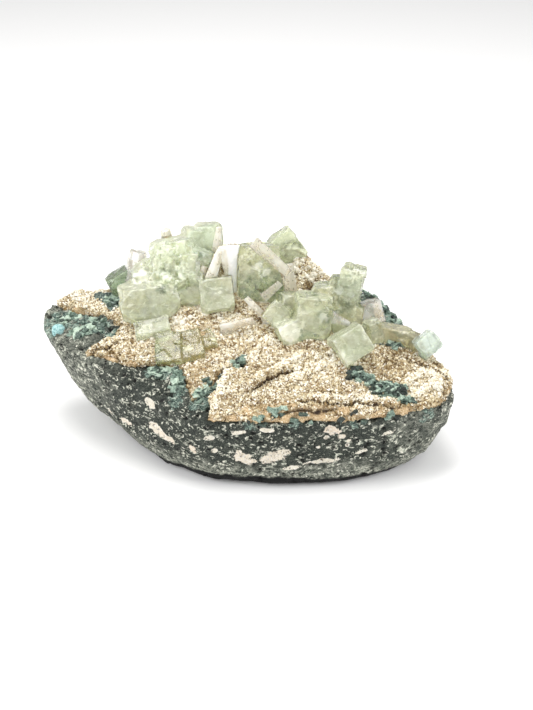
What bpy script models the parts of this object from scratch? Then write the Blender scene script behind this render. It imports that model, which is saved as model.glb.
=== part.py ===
"""Apophyllite cluster on its matrix.

A boat-shaped slab of dark basalt carries a crust of sugary druse on its sloping top. Blocky pale
green apophyllite crystals and flat pinkish stilbite blades stand on the crust.

Every size below is in millimetres, and each mesh is scaled to metres as it becomes an object.
+X runs right along the slab, +Y to its back, +Z up. The slab is drawn round a point inside it, and
each object is then moved so that the origin is on the floor under the middle of the whole.
"""

import math

import bmesh
import bpy
from mathutils import Euler, Matrix, Vector, noise

MM = 0.001
GAP = 0.3  # between pieces that touch
MIDDLE = (2.85, -3.1, 0.0)  # of the whole, as drawn

# The slab, seen from above: for each bearing in degrees, how far the rim reaches, how high the rim
# is, how far the foot reaches on the floor, and how full the wall between them is.
SLAB_OUTLINE = (
    (0, 74, 31.5, 60, 2.0),
    (8, 71, 33.5, 56, 2.0),
    (18, 60, 39, 50, 2.2),
    (32, 47, 44, 42, 2.4),
    (46, 41, 50, 36, 2.4),
    (62, 39.5, 55, 34, 2.4),
    (84, 39.5, 57, 34, 2.2),
    (105, 39.5, 56, 34, 2.2),
    (126, 42, 52, 35, 2.0),
    (143, 50, 46, 37, 1.8),
    (153, 60, 42, 38, 1.6),
    (161, 72, 38, 38, 1.4),
    (166, 78, 35, 37, 1.4),
    (174, 72.5, 35.5, 36, 1.6),
    (184, 64.5, 36, 35, 1.8),
    (198, 54, 35, 35.5, 1.9),
    (222, 45, 32, 36.5, 2.2),
    (258, 45, 29, 38.5, 2.8),
    (282, 46.5, 28.5, 44.5, 3.0),
    (305, 54.6, 28.5, 53.5, 3.0),
    (324, 70.5, 28.5, 63.5, 2.3),
    (335, 82, 28.5, 68.5, 1.9),
    (341, 85.2, 29, 68.5, 1.8),
    (351, 80, 30.5, 64, 1.8),
)
SLAB_TOP_MIDDLE = 44.0  # height of the sloping top over the origin
SLAB_TOP_SLOPE = 0.36  # rise of the top towards the back
SLAB_FINENESS = 5  # subdivisions of the ball that the slab starts as
TOP_ANGLE, FOOT_ANGLE = 72.0, 128.0  # from the ball's pole: where the rim and the foot come from
RIM_OVERRUN = 1.15  # how far past the rim, as a share of its reach, the top is still worked out
SLAB_LUMPS = (  # centre (x, y), height and radius
    ((47, 23), 5.0, 6.0),
    ((54, 18), 4.4, 6.0),
    ((61, 11), 1.2, 5.0),
    ((-73, 19), 4.0, 5.5),
    ((-67, 25), 3.6, 6.0),
    ((-60, 26), 2.2, 6.0),
)
LUMP_SIZE, LUMP_HEIGHT = 13.0, 1.1  # the broken stone's roughness
CHIP_SIZE, CHIP_HEIGHT = 5.0, 0.45
FLAT_FOOT = 4.0  # height over which that roughness fades out towards the floor
UNDERCUT_WIDTH, UNDERCUT_HEIGHT = 2.6, 2.6  # how the wall's foot draws in over the floor

# The druse crust: its edge on the slab as (x, y), sunk a little into the stone.
CRUST_EDGE = (
    (-73, 24), (-69, 19), (-58, 14), (-50, 10), (-41.5, 1), (-43.5, -4.5), (-49.5, -7.5), (-54, -11),
    (-47, -14.5), (-38, -19), (-29, -19), (-24, -19.5), (-18, -23), (-16.5, -29), (-14, -36.5),
    (-8.5, -31), (-4.5, -24.5), (4, -17.5), (5.5, -22), (-2, -27), (-7, -36.5), (-9, -48),
    (8, -50), (60, -48), (84, -42), (88, -30), (86, -14), (78, -3), (70, 2), (62, 3), (54, 11),
    (47, 17), (41, 24), (34, 29), (30, 36), (18, 43), (-12, 43), (-30, 40), (-42, 34),
    (-54, 31), (-66, 30),
)
CRUST_CELL = 5.2  # side of the crust's grid
CRUST_INSET = 0.6  # of its edge inside the slab's rim
RIM_STEP = 6  # degrees between the points of the rim
CRUST_SUNK = 1.2  # below the stone's top
CRUST_THICK = 2.0  # above it
SWELL_SIZE, SWELL_HEIGHT = 11.0, 1.2  # the crust's own roughness
GRAIN_SIZE, GRAIN_HEIGHT = 4.5, 0.5
RIM_WAVE, RIM_WAVE_REACH = 9.0, 1.2  # how the crust wanders along the rim
SHEET_HIGH, PRISM_HIGH = 110.0, 120.0  # over everything, for cutters
SHEET_X, SHEET_Y = (-86.4, 91.2), (-50.4, 45.6)  # what the grid covers

# Raised folds of the crust: both ends (x, y), height and half width.
CRUST_FOLDS = (
    ((-7, -45), (2, -29), 2.0, 3.2),
    ((2, -29), (15, -15), 2.6, 3.6),
    ((18, -22), (40, -30), 1.0, 4.0),
    ((62, -14), (79, -30), 1.6, 6.0),
    ((24, -40), (46, -41), 1.0, 3.0),
    ((-44, -13), (-30, -11), 1.0, 3.0),
)
CRUST_LUMPS = (  # centre (x, y), height and radius; a negative height is a hollow
    ((24, 32), 6.0, 8.0),
    ((32.5, 26), 7.5, 6.0),
    ((26, 15), -3.0, 4.5),
    ((-28, 34), 6.0, 5.5),
    ((-2, 36), 1.2, 8.0),
    ((-62, 18), 1.0, 7.0),
    ((76, -22), 1.6, 7.0),
    ((54, -22), -1.0, 7.0),
    ((-17, -4), 1.4, 6.0),
    ((-20, 3), 2.5, 4.5),
    ((4, -37), -0.8, 6.0),
)

# Apophyllite blocks: centre (x, y, z), size (width, depth, height), then in degrees lean towards
# the front, roll to the right and turn, and last how much of each corner is cut off.
LEFT_BLOCKS = (
    ((-31.8, 6.5, 50.7), (22.5, 13, 13.5), -6, -6, 8, 5.6),
    ((-19.5, 13.0, 53.0), (16, 12, 12), -8, -4, 4, 2.0),
    ((-6.4, 7.5, 52.4), (12.5, 11, 11.8), -24, -6, 3, 2.4),
    ((-22.8, 18.0, 60.3), (17, 14, 17), -6, -6, 12, 4.2),
    ((-27.5, 12.5, 58.0), (8, 9, 15), -16, 32, 10, 2.2),
    ((-21.0, 17.0, 66.5), (10, 9, 7), -12, -16, -20, 1.8),
    ((-17.0, 13.5, 62.5), (7.5, 8, 8), -14, 3, 5, 1.2),
    ((-32.5, 16.5, 55.0), (9, 10, 11), 6, -30, 20, 2.6),
    ((-12.0, 16.0, 64.0), (7.5, 6, 5), -10, 20, -10, 1.4),
    ((-15.5, 25.0, 66.8), (9, 8, 9), -5, 15, 25, 2.2),
    ((-9.9, 26.0, 67.2), (9.5, 8, 11), -5, -8, -20, 2.4),
)
CENTRE_BLOCKS = (
    ((9.3, 17.0, 57.0), (15.8, 12.5, 20.5), -14, 2, 4, 4.4),
    ((13.5, 13.5, 54.5), (8, 8, 13), -12, -14, 24, 2.6),
)
BACK_BLOCKS = (((20.8, 31.8, 60.4), (10.5, 9, 13.5), -12, -36, 6, 2.2),)
RIGHT_BLOCKS = (
    ((29.5, -2.5, 49.0), (13, 12, 15), -10, 6, 8, 3.0),
    ((16.5, -1.5, 48.5), (8, 7, 8), -20, 38, 0, 0.8),
    ((21.3, 3.2, 50.4), (7.5, 8, 8), -12, 8, 15, 2.2),
    ((35.0, 3.5, 52.5), (9, 9, 11), -8, -6, -12, 1.6),
    ((43.7, 2.5, 56.6), (8.4, 9, 18.4), -6, 8, -14, 1.1),
    ((39.4, 3.0, 55.6), (6.5, 7, 12), -6, 4, -14, 2.0),
    ((22.0, -7.0, 45.0), (11, 8, 7.5), -14, -18, 14, 2.0),
    ((44.9, 1.2, 46.0), (7.4, 7, 10), -10, 8, -10, 1.0),
    ((39.5, 0.2, 45.5), (7, 6, 9), -14, -12, 10, 0.8),
)
TILTED_CUBE_BLOCKS = (((43.5, -15.0, 43.2), (12, 11, 10.8), -24, -27, 10, 0.7),)
RIDGE_BLOCKS = (
    ((59.5, -2.5, 40.2), (13, 6, 7), -4, 10, -8, 1.6),
    ((67.0, -4.0, 38.8), (7, 5, 6), 2, 14, -20, 1.2),
    ((52.3, -5.5, 43.2), (5.5, 5.5, 9), -5, -8, 30, 1.2),
)
SMALL_CUBE_BLOCKS = (((72.0, -12.0, 41.7), (8, 7.5, 7.5), -22, -36, 8, 1.2),)
DARK_BLOCKS = (((-43.6, 24.0, 50.0), (12, 9.5, 8), -10, -26, 14, 3.4),)
FLAT_BOX_BLOCKS = (
    ((-23.6, -14.6, 40.2), (9.8, 13.5, 5.5), 24, -3, 4, 0.6),
    ((-15.6, -13.2, 40.5), (10, 13, 5.5), 19, -14, 14, 0.6),
    ((-10.4, -10.8, 42.0), (8, 9, 3.4), 16, -6, 20, 0.5),
)
FLAT_CRYSTAL_BLOCKS = (((-30.0, -4.6, 43.5), (13, 7, 5), 22, -12, 12, 0.9),)

# Each node of blocks that grew together: name, blocks and material.
CLUSTERS = (
    ("apophyllite_left_cluster", LEFT_BLOCKS, "apophyllite"),
    ("apophyllite_centre_cluster", CENTRE_BLOCKS, "apophyllite"),
    ("apophyllite_back_crystal", BACK_BLOCKS, "apophyllite"),
    ("apophyllite_right_cluster", RIGHT_BLOCKS, "apophyllite"),
    ("apophyllite_tilted_cube", TILTED_CUBE_BLOCKS, "apophyllite"),
    ("apophyllite_ridge", RIDGE_BLOCKS, "apophyllite"),
    ("apophyllite_small_cube", SMALL_CUBE_BLOCKS, "apophyllite"),
    ("apophyllite_dark_block", DARK_BLOCKS, "dark_apophyllite"),
    ("apophyllite_flat_box", FLAT_BOX_BLOCKS, "apophyllite"),
    ("apophyllite_slab", FLAT_CRYSTAL_BLOCKS, "apophyllite"),
)

# Stilbite blades: centre, size (width, thickness, length) with the length upright, lean, roll and
# turn as above, and last how wide the tip is as a share of the width.
BLADE_FULLNESS = 1.15  # a six-sided bar is thinner between its flats than its diameter
BLADES = {
    "stilbite_mass_left": ((-38.5, 23.0, 55.5), (10, 8, 14), -6, 14, 12, 0.7),
    "stilbite_wedge": ((-1.1, 13.8, 59.0), (9.6, 4, 19.5), -6, 175, 0, 0.35),
    "stilbite_blade_over": ((14.2, 10.0, 66.2), (5.6, 2.0, 18), -16, 128, -10, 0.75),
    "stilbite_blade_upright": ((-7.2, 9.4, 61.8), (5.6, 2.4, 16), -6, 20, 6, 0.6),
    "stilbite_blade_striped": ((-12.5, 10.5, 58.5), (5, 3.4, 8), -6, 28, 10, 0.5),
    "stilbite_blade_diagonal": ((10.0, 0.0, 48.5), (3.2, 2.6, 15), -14, -44, 0, 0.8),
    "stilbite_blade_lying": ((1.5, -6.0, 46.5), (3.6, 2.6, 13), 0, 76, 4, 0.85),
    "stilbite_blade_short": ((14.4, 6.6, 54.2), (4.0, 2.6, 9), -10, 48, 0, 0.75),
    "stilbite_blade_pale": ((21.4, 10.2, 56.8), (6, 3, 13), -6, -4, 10, 0.6),
    "stilbite_wedge_right": ((39.9, -5.0, 47.6), (6, 4, 8), -10, 112, 0, 0.3),
    "stilbite_mass_right": ((52.3, 1.2, 46.6), (11, 7, 11), -10, -8, 16, 0.8),
    "stilbite_tip_back": ((-6.2, 20.2, 69.0), (4.4, 3, 10), -6, 6, 0, 0.5),
    "stilbite_knob_back": ((-26.0, 26.0, 67.0), (6, 5, 7), 0, -10, 0, 0.7),
}
NODULE_CENTRE, NODULE_SIZE = (-67.3, 5.5, 37.6), (5.5, 5, 5.2)  # a ball of celadonite
NODULE_CLEARANCE = 0.5  # from the stone it sits against

# Each material's colour, roughness and transmission.
COLOURS = {
    "basalt": ((0.075, 0.085, 0.085, 1), 0.85, 0.0),
    "druse": ((0.72, 0.60, 0.42, 1), 0.55, 0.0),
    "apophyllite": ((0.66, 0.74, 0.58, 1), 0.22, 0.5),
    "dark_apophyllite": ((0.36, 0.47, 0.37, 1), 0.3, 0.3),
    "stilbite": ((0.86, 0.80, 0.74, 1), 0.4, 0.1),
    "celadonite": ((0.35, 0.60, 0.62, 1), 0.6, 0.0),
}


def clear_scene():
    for obj in list(bpy.data.objects):
        bpy.data.objects.remove(obj)


def new_collection(name):
    made = bpy.data.collections.new(name)
    bpy.context.scene.collection.children.link(made)
    return made


def new_material(name):
    colour, roughness, transmission = COLOURS[name]
    material = bpy.data.materials.new(name)
    material.use_nodes = True
    shader = material.node_tree.nodes["Principled BSDF"]
    shader.inputs["Base Color"].default_value = colour
    shader.inputs["Roughness"].default_value = roughness
    shader.inputs["Metallic"].default_value = 0.0
    shader.inputs["Transmission Weight"].default_value = transmission
    material.diffuse_color = colour
    return material


def add_object(name, mesh, group):
    """Bring the mesh over the origin, scale it to metres and put it in the group as an object."""
    bmesh.ops.recalc_face_normals(mesh, faces=mesh.faces)
    bmesh.ops.translate(mesh, vec=-Vector(MIDDLE), verts=mesh.verts)
    bmesh.ops.scale(mesh, vec=(MM, MM, MM), verts=mesh.verts)
    data = bpy.data.meshes.new(name)
    mesh.to_mesh(data)
    mesh.free()
    obj = bpy.data.objects.new(name, data)
    group.objects.link(obj)
    return obj


def add_cutter(name, mesh, cutters):
    obj = add_object(name, mesh, cutters)
    obj.hide_render = True
    obj.display_type = "WIRE"
    return obj


def combine(obj, operation, others):
    for other in others:
        step = obj.modifiers.new(f"{operation.lower()} {other.name}", "BOOLEAN")
        step.operation = operation
        step.solver = "EXACT"
        step.object = other


def cubic(before, start, end, after, share, spans):
    """A smooth curve from start to end through unevenly spaced values."""
    first, middle, last = spans
    slope_in = (end - before) / (first + middle) * middle
    slope_out = (after - start) / (middle + last) * middle
    square, cube = share**2, share**3
    return (
        (2 * cube - 3 * square + 1) * start
        + (cube - 2 * square + share) * slope_in
        + (3 * square - 2 * cube) * end
        + (cube - square) * slope_out
    )


def slab_row(bearing):
    """(reach, rim height, foot, fullness) of the slab at this bearing in degrees."""
    bearing %= 360
    count = len(SLAB_OUTLINE)
    at = max(i for i in range(count) if SLAB_OUTLINE[i][0] <= bearing)
    rows = [SLAB_OUTLINE[(at + step) % count] for step in (-1, 0, 1, 2)]
    spans = [(rows[i + 1][0] - rows[i][0]) % 360 for i in range(3)]
    share = (bearing - rows[1][0]) / spans[1]
    return [cubic(*(row[column] for row in rows), share, spans) for column in range(1, 5)]


def lumps_height(lumps, x, y):
    """What a group of rounded lumps adds to a surface here."""
    return sum(
        height * math.exp(-(math.hypot(x - centre[0], y - centre[1]) / radius) ** 2)
        for centre, height, radius in lumps
    )


def slab_top(x, y):
    """Height of the stone's top, sloping up to the back and drawn to the rim's own height."""
    bearing = math.degrees(math.atan2(y, x))
    reach, rim, _, _ = slab_row(bearing)
    share = min(math.hypot(x, y) / reach, RIM_OVERRUN)
    slope_at_rim = SLAB_TOP_MIDDLE + SLAB_TOP_SLOPE * reach * math.sin(math.radians(bearing))
    slope = SLAB_TOP_MIDDLE + SLAB_TOP_SLOPE * y
    return slope + (rim - slope_at_rim) * share**2 + lumps_height(SLAB_LUMPS, x, y)


def rough(point, size, height):
    return height * noise.noise(Vector(point) / size)


def slab_point(direction):
    """Where a point of the unit ball goes on the slab."""
    angle = math.degrees(math.acos(max(-1.0, min(1.0, direction.z))))
    heading = math.atan2(direction.y, direction.x)
    reach, rim, foot, fullness = slab_row(math.degrees(heading))
    if angle < TOP_ANGLE:
        share = math.sqrt((1 - direction.z) / (1 - math.cos(math.radians(TOP_ANGLE))))
        radius = reach * share
        height = slab_top(radius * math.cos(heading), radius * math.sin(heading))
    elif angle < FOOT_ANGLE:
        up = 1 - (angle - TOP_ANGLE) / (FOOT_ANGLE - TOP_ANGLE)
        radius = foot + (reach - foot) * (1 - (1 - up) ** fullness) ** (1 / fullness)
        height = rim * up
        radius -= UNDERCUT_WIDTH * max(0.0, 1 - height / UNDERCUT_HEIGHT) ** 1.5
    else:
        share = math.sqrt((1 + direction.z) / (1 + math.cos(math.radians(FOOT_ANGLE))))
        radius = (foot - UNDERCUT_WIDTH) * share
        height = 0.0
    return Vector((radius * math.cos(heading), radius * math.sin(heading), height))


def slab_mesh(grow=0.0):
    mesh = bmesh.new()
    bmesh.ops.create_icosphere(mesh, subdivisions=SLAB_FINENESS, radius=1.0)
    for vert in mesh.verts:
        direction = vert.co.normalized()
        place = slab_point(direction)
        bump = rough(place, LUMP_SIZE, LUMP_HEIGHT) + rough(place, CHIP_SIZE, CHIP_HEIGHT) + grow
        if place.z > 0:
            place += direction * bump * min(1.0, place.z / FLAT_FOOT)
            place.z = max(place.z, 0.0)
        vert.co = place
    return mesh


def folds_height(x, y):
    """What the raised folds add to the crust here."""
    place = Vector((x, y))
    added = 0.0
    for start, end, height, width in CRUST_FOLDS:
        start, along = Vector(start), Vector(end) - Vector(start)
        share = max(0.0, min(1.0, (place - start).dot(along) / along.length_squared))
        added += height * math.exp(-(((place - start - share * along).length / width) ** 2))
    return added


def crust_top(x, y):
    grain = rough((x, y, 7), SWELL_SIZE, SWELL_HEIGHT) + rough((x, y, 3), GRAIN_SIZE, GRAIN_HEIGHT)
    relief = folds_height(x, y) + lumps_height(CRUST_LUMPS, x, y)
    return slab_top(x, y) + CRUST_THICK + relief + grain


def crust_under(x, y):
    return slab_top(x, y) - CRUST_SUNK


def draped_sheet(under, over):
    """A closed sheet between two heights, each a function of x and y, on one triangle grid."""
    columns = round((SHEET_X[1] - SHEET_X[0]) / CRUST_CELL)
    rows = round((SHEET_Y[1] - SHEET_Y[0]) / CRUST_CELL)
    mesh = bmesh.new()
    bmesh.ops.create_grid(mesh, x_segments=columns, y_segments=rows, size=0.5)
    bmesh.ops.triangulate(mesh, faces=mesh.faces)
    lower = list(mesh.verts)
    raised = bmesh.ops.extrude_face_region(mesh, geom=mesh.faces)
    upper = [item for item in raised["geom"] if isinstance(item, bmesh.types.BMVert)]
    for verts, height in ((lower, under), (upper, over)):
        for vert in verts:
            x = SHEET_X[0] + (vert.co.x + 0.5) * (SHEET_X[1] - SHEET_X[0])
            y = SHEET_Y[0] + (vert.co.y + 0.5) * (SHEET_Y[1] - SHEET_Y[0])
            vert.co = (x, y, height(x, y))
    return mesh


def rim_points(inset):
    """The slab's plan outline, this far inside its rim."""
    points = []
    for bearing in range(0, 360, RIM_STEP):
        heading = math.radians(bearing)
        reach = slab_row(bearing)[0] - inset + rough((bearing, 0, 0), RIM_WAVE, RIM_WAVE_REACH)
        points.append((reach * math.cos(heading), reach * math.sin(heading)))
    return points


def prism(points, grow=0.0):
    """An outline as an upright prism, grown outwards by this much."""
    mesh = bmesh.new()
    count = len(points)
    corners = []
    for at, point in enumerate(points):
        along = Vector(points[(at + 1) % count]) - Vector(points[at - 1])
        outward = Vector((along.y, -along.x)).normalized()
        corners.append(Vector(point) + outward * grow)
    face = mesh.faces.new([mesh.verts.new((corner.x, corner.y, 0)) for corner in corners])
    risen = bmesh.ops.extrude_face_region(mesh, geom=[face])
    top = [item for item in risen["geom"] if isinstance(item, bmesh.types.BMVert)]
    bmesh.ops.translate(mesh, vec=(0, 0, PRISM_HIGH), verts=top)
    return mesh


def placed(mesh, centre, lean, roll, turn):
    """Lean towards the front, roll to the right and turn the mesh, then move it to its centre."""
    angles = Euler([math.radians(angle) for angle in (lean, roll, turn)], "YXZ")
    bmesh.ops.transform(
        mesh, matrix=Matrix.Translation(centre) @ angles.to_matrix().to_4x4(), verts=mesh.verts
    )
    return mesh


def block_mesh(block, grow=0.0):
    """A crystal block with its corners cut off, as apophyllite grows."""
    centre, size, lean, roll, turn, corner = block
    mesh = bmesh.new()
    bmesh.ops.create_cube(mesh, size=1.0)
    bmesh.ops.scale(mesh, vec=[side + 2 * grow for side in size], verts=mesh.verts)
    bmesh.ops.bevel(
        mesh, geom=mesh.verts, offset=corner, affect="VERTICES", segments=1, clamp_overlap=True
    )
    return placed(mesh, centre, lean, roll, turn)


def blade_mesh(blade):
    """A flat six-sided blade that narrows to its tip, as stilbite grows."""
    centre, (width, thickness, length), lean, roll, turn, tip = blade
    mesh = bmesh.new()
    bmesh.ops.create_cone(
        mesh, cap_ends=True, segments=6, radius1=0.5, radius2=0.5 * tip, depth=length
    )
    bmesh.ops.scale(mesh, vec=(width, thickness * BLADE_FULLNESS, 1), verts=mesh.verts)
    return placed(mesh, centre, lean, roll, turn)


def ball_mesh(centre, size):
    mesh = bmesh.new()
    bmesh.ops.create_icosphere(mesh, subdivisions=2, radius=0.5)
    bmesh.ops.scale(mesh, vec=size, verts=mesh.verts)
    bmesh.ops.translate(mesh, vec=centre, verts=mesh.verts)
    return mesh


def make_slab(group, cutters, material):
    slab = add_object("basalt_matrix", slab_mesh(), group)
    slab.data.materials.append(material)
    sheet = draped_sheet(lambda x, y: crust_under(x, y) - GAP, lambda x, y: SHEET_HIGH)
    seat = add_cutter("crust_seat", sheet, cutters)
    outline = add_cutter("seat_outline", prism(CRUST_EDGE, GAP), cutters)
    combine(seat, "INTERSECT", [outline])
    combine(slab, "DIFFERENCE", [seat])


def make_crust(group, cutters, material):
    crust = add_object("druse_crust", draped_sheet(crust_under, crust_top), group)
    crust.data.materials.append(material)
    outline = add_cutter("crust_outline", prism(CRUST_EDGE), cutters)
    rim = add_cutter("crust_rim", prism(rim_points(CRUST_INSET)), cutters)
    combine(crust, "INTERSECT", [outline, rim])


def make_blocks(name, blocks, clearance, group, cutters, material):
    """Blocks that grew into each other, as one solid cut off at the crust."""
    crystal = add_object(name, block_mesh(blocks[0]), group)
    crystal.data.materials.append(material)
    others = [
        add_cutter(f"{name}_block_{number}", block_mesh(block), cutters)
        for number, block in enumerate(blocks[1:], 2)
    ]
    combine(crystal, "UNION", others)
    combine(crystal, "DIFFERENCE", [clearance])


def make_blades(clearance, group, cutters, material):
    """Stilbite blades, cut off at the crust and clear of every block that they lean on."""
    blocks = [block for _, cluster, _ in CLUSTERS for block in cluster]
    grown = [
        (Vector(block[0]), max(block[1]), add_cutter("block_clearance", block_mesh(block, GAP), cutters))
        for block in blocks
    ]
    for name, blade in BLADES.items():
        obj = add_object(name, blade_mesh(blade), group)
        obj.data.materials.append(material)
        centre, length = Vector(blade[0]), max(blade[1])
        near = [cutter for place, size, cutter in grown if (place - centre).length < size + length]
        combine(obj, "DIFFERENCE", [clearance, *near])


def make_nodule(group, cutters, material):
    nodule = add_object("celadonite_nodule", ball_mesh(NODULE_CENTRE, NODULE_SIZE), group)
    nodule.data.materials.append(material)
    stone = add_cutter("slab_clearance", slab_mesh(NODULE_CLEARANCE), cutters)
    combine(nodule, "DIFFERENCE", [stone])


def main():
    clear_scene()
    group = new_collection("apophyllite_cluster")
    cutters = new_collection("cutters")
    materials = {name: new_material(name) for name in COLOURS}
    make_slab(group, cutters, materials["basalt"])
    make_crust(group, cutters, materials["druse"])
    sheet = draped_sheet(lambda x, y: 0.0, lambda x, y: crust_top(x, y) + GAP)
    clearance = add_cutter("crust_clearance", sheet, cutters)
    for name, blocks, material in CLUSTERS:
        make_blocks(name, blocks, clearance, group, cutters, materials[material])
    make_blades(clearance, group, cutters, materials["stilbite"])
    make_nodule(group, cutters, materials["celadonite"])


main()
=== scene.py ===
"""Apophyllite cluster on its matrix: the looks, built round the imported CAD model.

Lengths in this script are in millimetres and become metres as a piece is made. +X runs right along
the slab, +Y to its back and +Z up, with the origin on the floor under the middle of the whole.
"""

import math

import bpy
import numpy as np
from mathutils import Euler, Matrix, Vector
from mathutils.bvhtree import BVHTree


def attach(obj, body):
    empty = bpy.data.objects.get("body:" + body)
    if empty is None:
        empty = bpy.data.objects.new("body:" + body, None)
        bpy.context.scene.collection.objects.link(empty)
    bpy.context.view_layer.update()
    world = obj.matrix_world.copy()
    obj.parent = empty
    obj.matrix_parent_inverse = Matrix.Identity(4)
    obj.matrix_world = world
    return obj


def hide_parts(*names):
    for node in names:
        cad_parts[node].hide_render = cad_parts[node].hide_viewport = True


MM = 0.001
UP = Vector((0, 0, 1))
FAR = 99.0  # a distance for points that nothing is near
SKY = 200  # a height above everything
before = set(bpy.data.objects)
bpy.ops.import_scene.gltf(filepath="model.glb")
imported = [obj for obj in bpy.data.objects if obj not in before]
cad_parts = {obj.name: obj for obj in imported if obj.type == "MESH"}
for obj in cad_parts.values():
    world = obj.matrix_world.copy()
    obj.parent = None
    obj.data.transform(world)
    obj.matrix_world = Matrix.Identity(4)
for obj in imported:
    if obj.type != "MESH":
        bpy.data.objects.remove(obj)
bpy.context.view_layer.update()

# The camera looks along +Y and down, as the photograph does.
CAMERA_TARGET = (9.65, 13.1, 24)
CAMERA_DISTANCE, CAMERA_ELEVATION = 480, 30
CAMERA_LENS, CAMERA_SENSOR = 62, 36
# Soft round lights: name, place, width, power in watts and colour.
LIGHTS = (
    ("key", (-60, 120, 640), 420, 3.0, (1, 0.985, 0.96)),
    ("left", (-560, -180, 300), 320, 2.0, (1, 1, 1)),
    ("right", (560, -160, 300), 320, 1.5, (1, 1, 1)),
    ("front", (60, -620, 420), 420, 0.9, (1, 1, 1)),
)
LIGHTS_AIM = (0, 0, 30)
WORLD_LIGHT = 0.66  # strength of the white all round
FLOOR_SIDE = 8.0  # in metres

# Size of the even grid that each node is remade on.
BASALT_CELL, CRUST_CELL, CRYSTAL_CELL, BLADE_CELL, NODULE_CELL = 0.66, 0.72, 0.36, 0.34, 0.3
FINE_SPACING, COARSE_SPACING = 0.19, 0.22  # area of crust to each grain, in square millimetres
FINE_GRAIN, COARSE_GRAIN = 0.35, 0.42  # the usual radius of each
GRAIN_LIMITS = (0.2, 0.95)  # the smallest and the largest
GRAINS_SPLIT = 10  # x at which the grains' meshes are split in left and right
KNOB_SIZE = 2.7  # of the rounded knobs in the crust
CRUST_LOWERED = 0.35  # how far the crust's ground lies under the tips of its grains
# Painted shadow: the wall's foot is painted near black up to these heights.
PAINTED_SHADOW_LOW, PAINTED_SHADOW_HIGH = 3.0, 5.1  # up to which the wall is dark, at its left end and its middle
HOLE_DEPTH = 0.75  # of the small bubbles in the basalt
CHIP_DEPTH = 0.55  # of the chips along the crystals' edges
GROOVE_DEPTH = 0.18  # of the grooves along the blades
FRACTURE_COVER = 0.7  # how far inside its crystal each fracture sheet stays
LEVEL_SHARE = 0.65  # of the fracture sheets, those that lie near level
SHEET_SIDE = 4  # squares along each side of a fracture sheet
CRYSTAL_SUNK, BLADE_SUNK, NODULE_SUNK = 0.8, 0.7, 0.7  # how far each foot goes down
# A look upwards from this far below a point, and how near above that a crystal covers it.
COVER_BELOW, COVER_REACH = 0.6, 1.6
WELD_GAP = 1e-6  # in metres
APOPHYLLITE_IOR, STILBITE_IOR = 1.535, 1.5

# The nodes' names are these after apophyllite_ and stilbite_.
CRYSTALS = (
    "left_cluster", "centre_cluster", "back_crystal", "right_cluster", "tilted_cube", "ridge",
    "small_cube", "dark_block", "flat_box", "slab",
)
BLADES = (
    "mass_left", "wedge", "blade_over", "blade_upright", "blade_striped", "blade_diagonal",
    "blade_lying", "blade_short", "blade_pale", "wedge_right", "mass_right", "tip_back",
    "knob_back",
)
CRYSTAL_NODES = ["apophyllite_" + name for name in CRYSTALS]
BLADE_NODES = ["stilbite_" + name for name in BLADES]

# Blue-green celadonite on the crust: both ends (x, y) of a patch and its half width.
CRUST_TEAL = (
    ((41.8, -21.4), (46.5, -24.2), 2.8), ((49, -27), (57, -28.6), 3.2),
    ((58, -32.6), (60.6, -32), 1), ((52.6, -4.6), (59.4, -3.8), 1.3),
    ((-55, 24), (-49.5, 21), 3.4), ((-49.5, 22), (-49, 16.5), 3),
    ((12.2, -40.4), (15.4, -40.2), 0.9), ((-1.6, -18.2), (0.8, -16.8), 1.3),
)
# The same on the basalt: centre (x, y, z) and radius.
BASALT_TEAL = (
    ((-73.5, 13, 37.5), 6.5), ((-62, 12, 38.5), 5), ((-55, 6.5, 39.5), 4.5), ((-60, 4, 37.5), 3.5),
    ((-49, 1, 39), 3.5), ((-45, -3, 38), 3), ((-30, -18.5, 35.5), 4.5), ((-23.6, -21.8, 35), 3.5),
    ((-21, -28, 32.5), 3.2), ((-23, -33, 30.5), 2.6), ((-10, -26.5, 33.5), 4),
    ((-14, -33.5, 30.5), 4), ((-4, -20.5, 36), 2.5), ((67, -33, 26), 2.8), ((57, 18.5, 42.5), 9),
    ((48, 24, 44), 7), ((4, -42, 27.5), 1.6), ((20, -42.5, 27.5), 1.4), ((-42, 30, 40), 4),
    ((-66, 20, 36), 3), ((41.5, -41, 26.5), 1.2),
)
# Broken plates of teal rock in heaps: centre (x, y), half length, half width, turn in degrees, how
# many and how light they are.
TEAL_PLATES = (
    ((43.8, -22.6), 3.6, 3, -30, 46, 0.48), ((53, -27.8), 6, 3.6, -8, 84, 0.5),
    ((59.4, -32.3), 2.4, 1.2, 10, 14, 0.45), ((56, -4.2), 4.2, 1.5, 6, 20, 0.45),
    ((13.8, -40), 2.2, 0.9, 0, 8, 0.55), ((-0.4, -17.4), 2.4, 1.4, 20, 16, 0.5),
    ((-27, -20.3), 5.5, 2.2, 0, 36, 0.62), ((-22.4, -26.5), 1.6, 3.4, 0, 18, 0.72),
    ((-12.8, -29.5), 4.2, 1.6, 55, 24, 0.72), ((-58, 6.5), 7, 3.6, 30, 46, 0.72),
    ((-68, 16), 4, 2, 20, 16, 0.7), ((-50.5, 19.5), 2, 3.4, 20, 18, 0.62),
    ((48, 24.5), 3.6, 2.4, -40, 22, 0.45), ((52.5, 20.5), 3, 2, -50, 20, 0.45),
    ((57, 16.5), 3.4, 2.6, -45, 20, 0.45), ((6, -41.2), 3, 0.8, 0, 6, 0.4),
    ((24, -41.4), 5, 0.7, 0, 3, 0.3), ((40, -40.2), 4, 0.8, 4, 3, 0.3),
    ((53, -38.4), 3, 0.8, 12, 6, 0.35),
)
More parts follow.
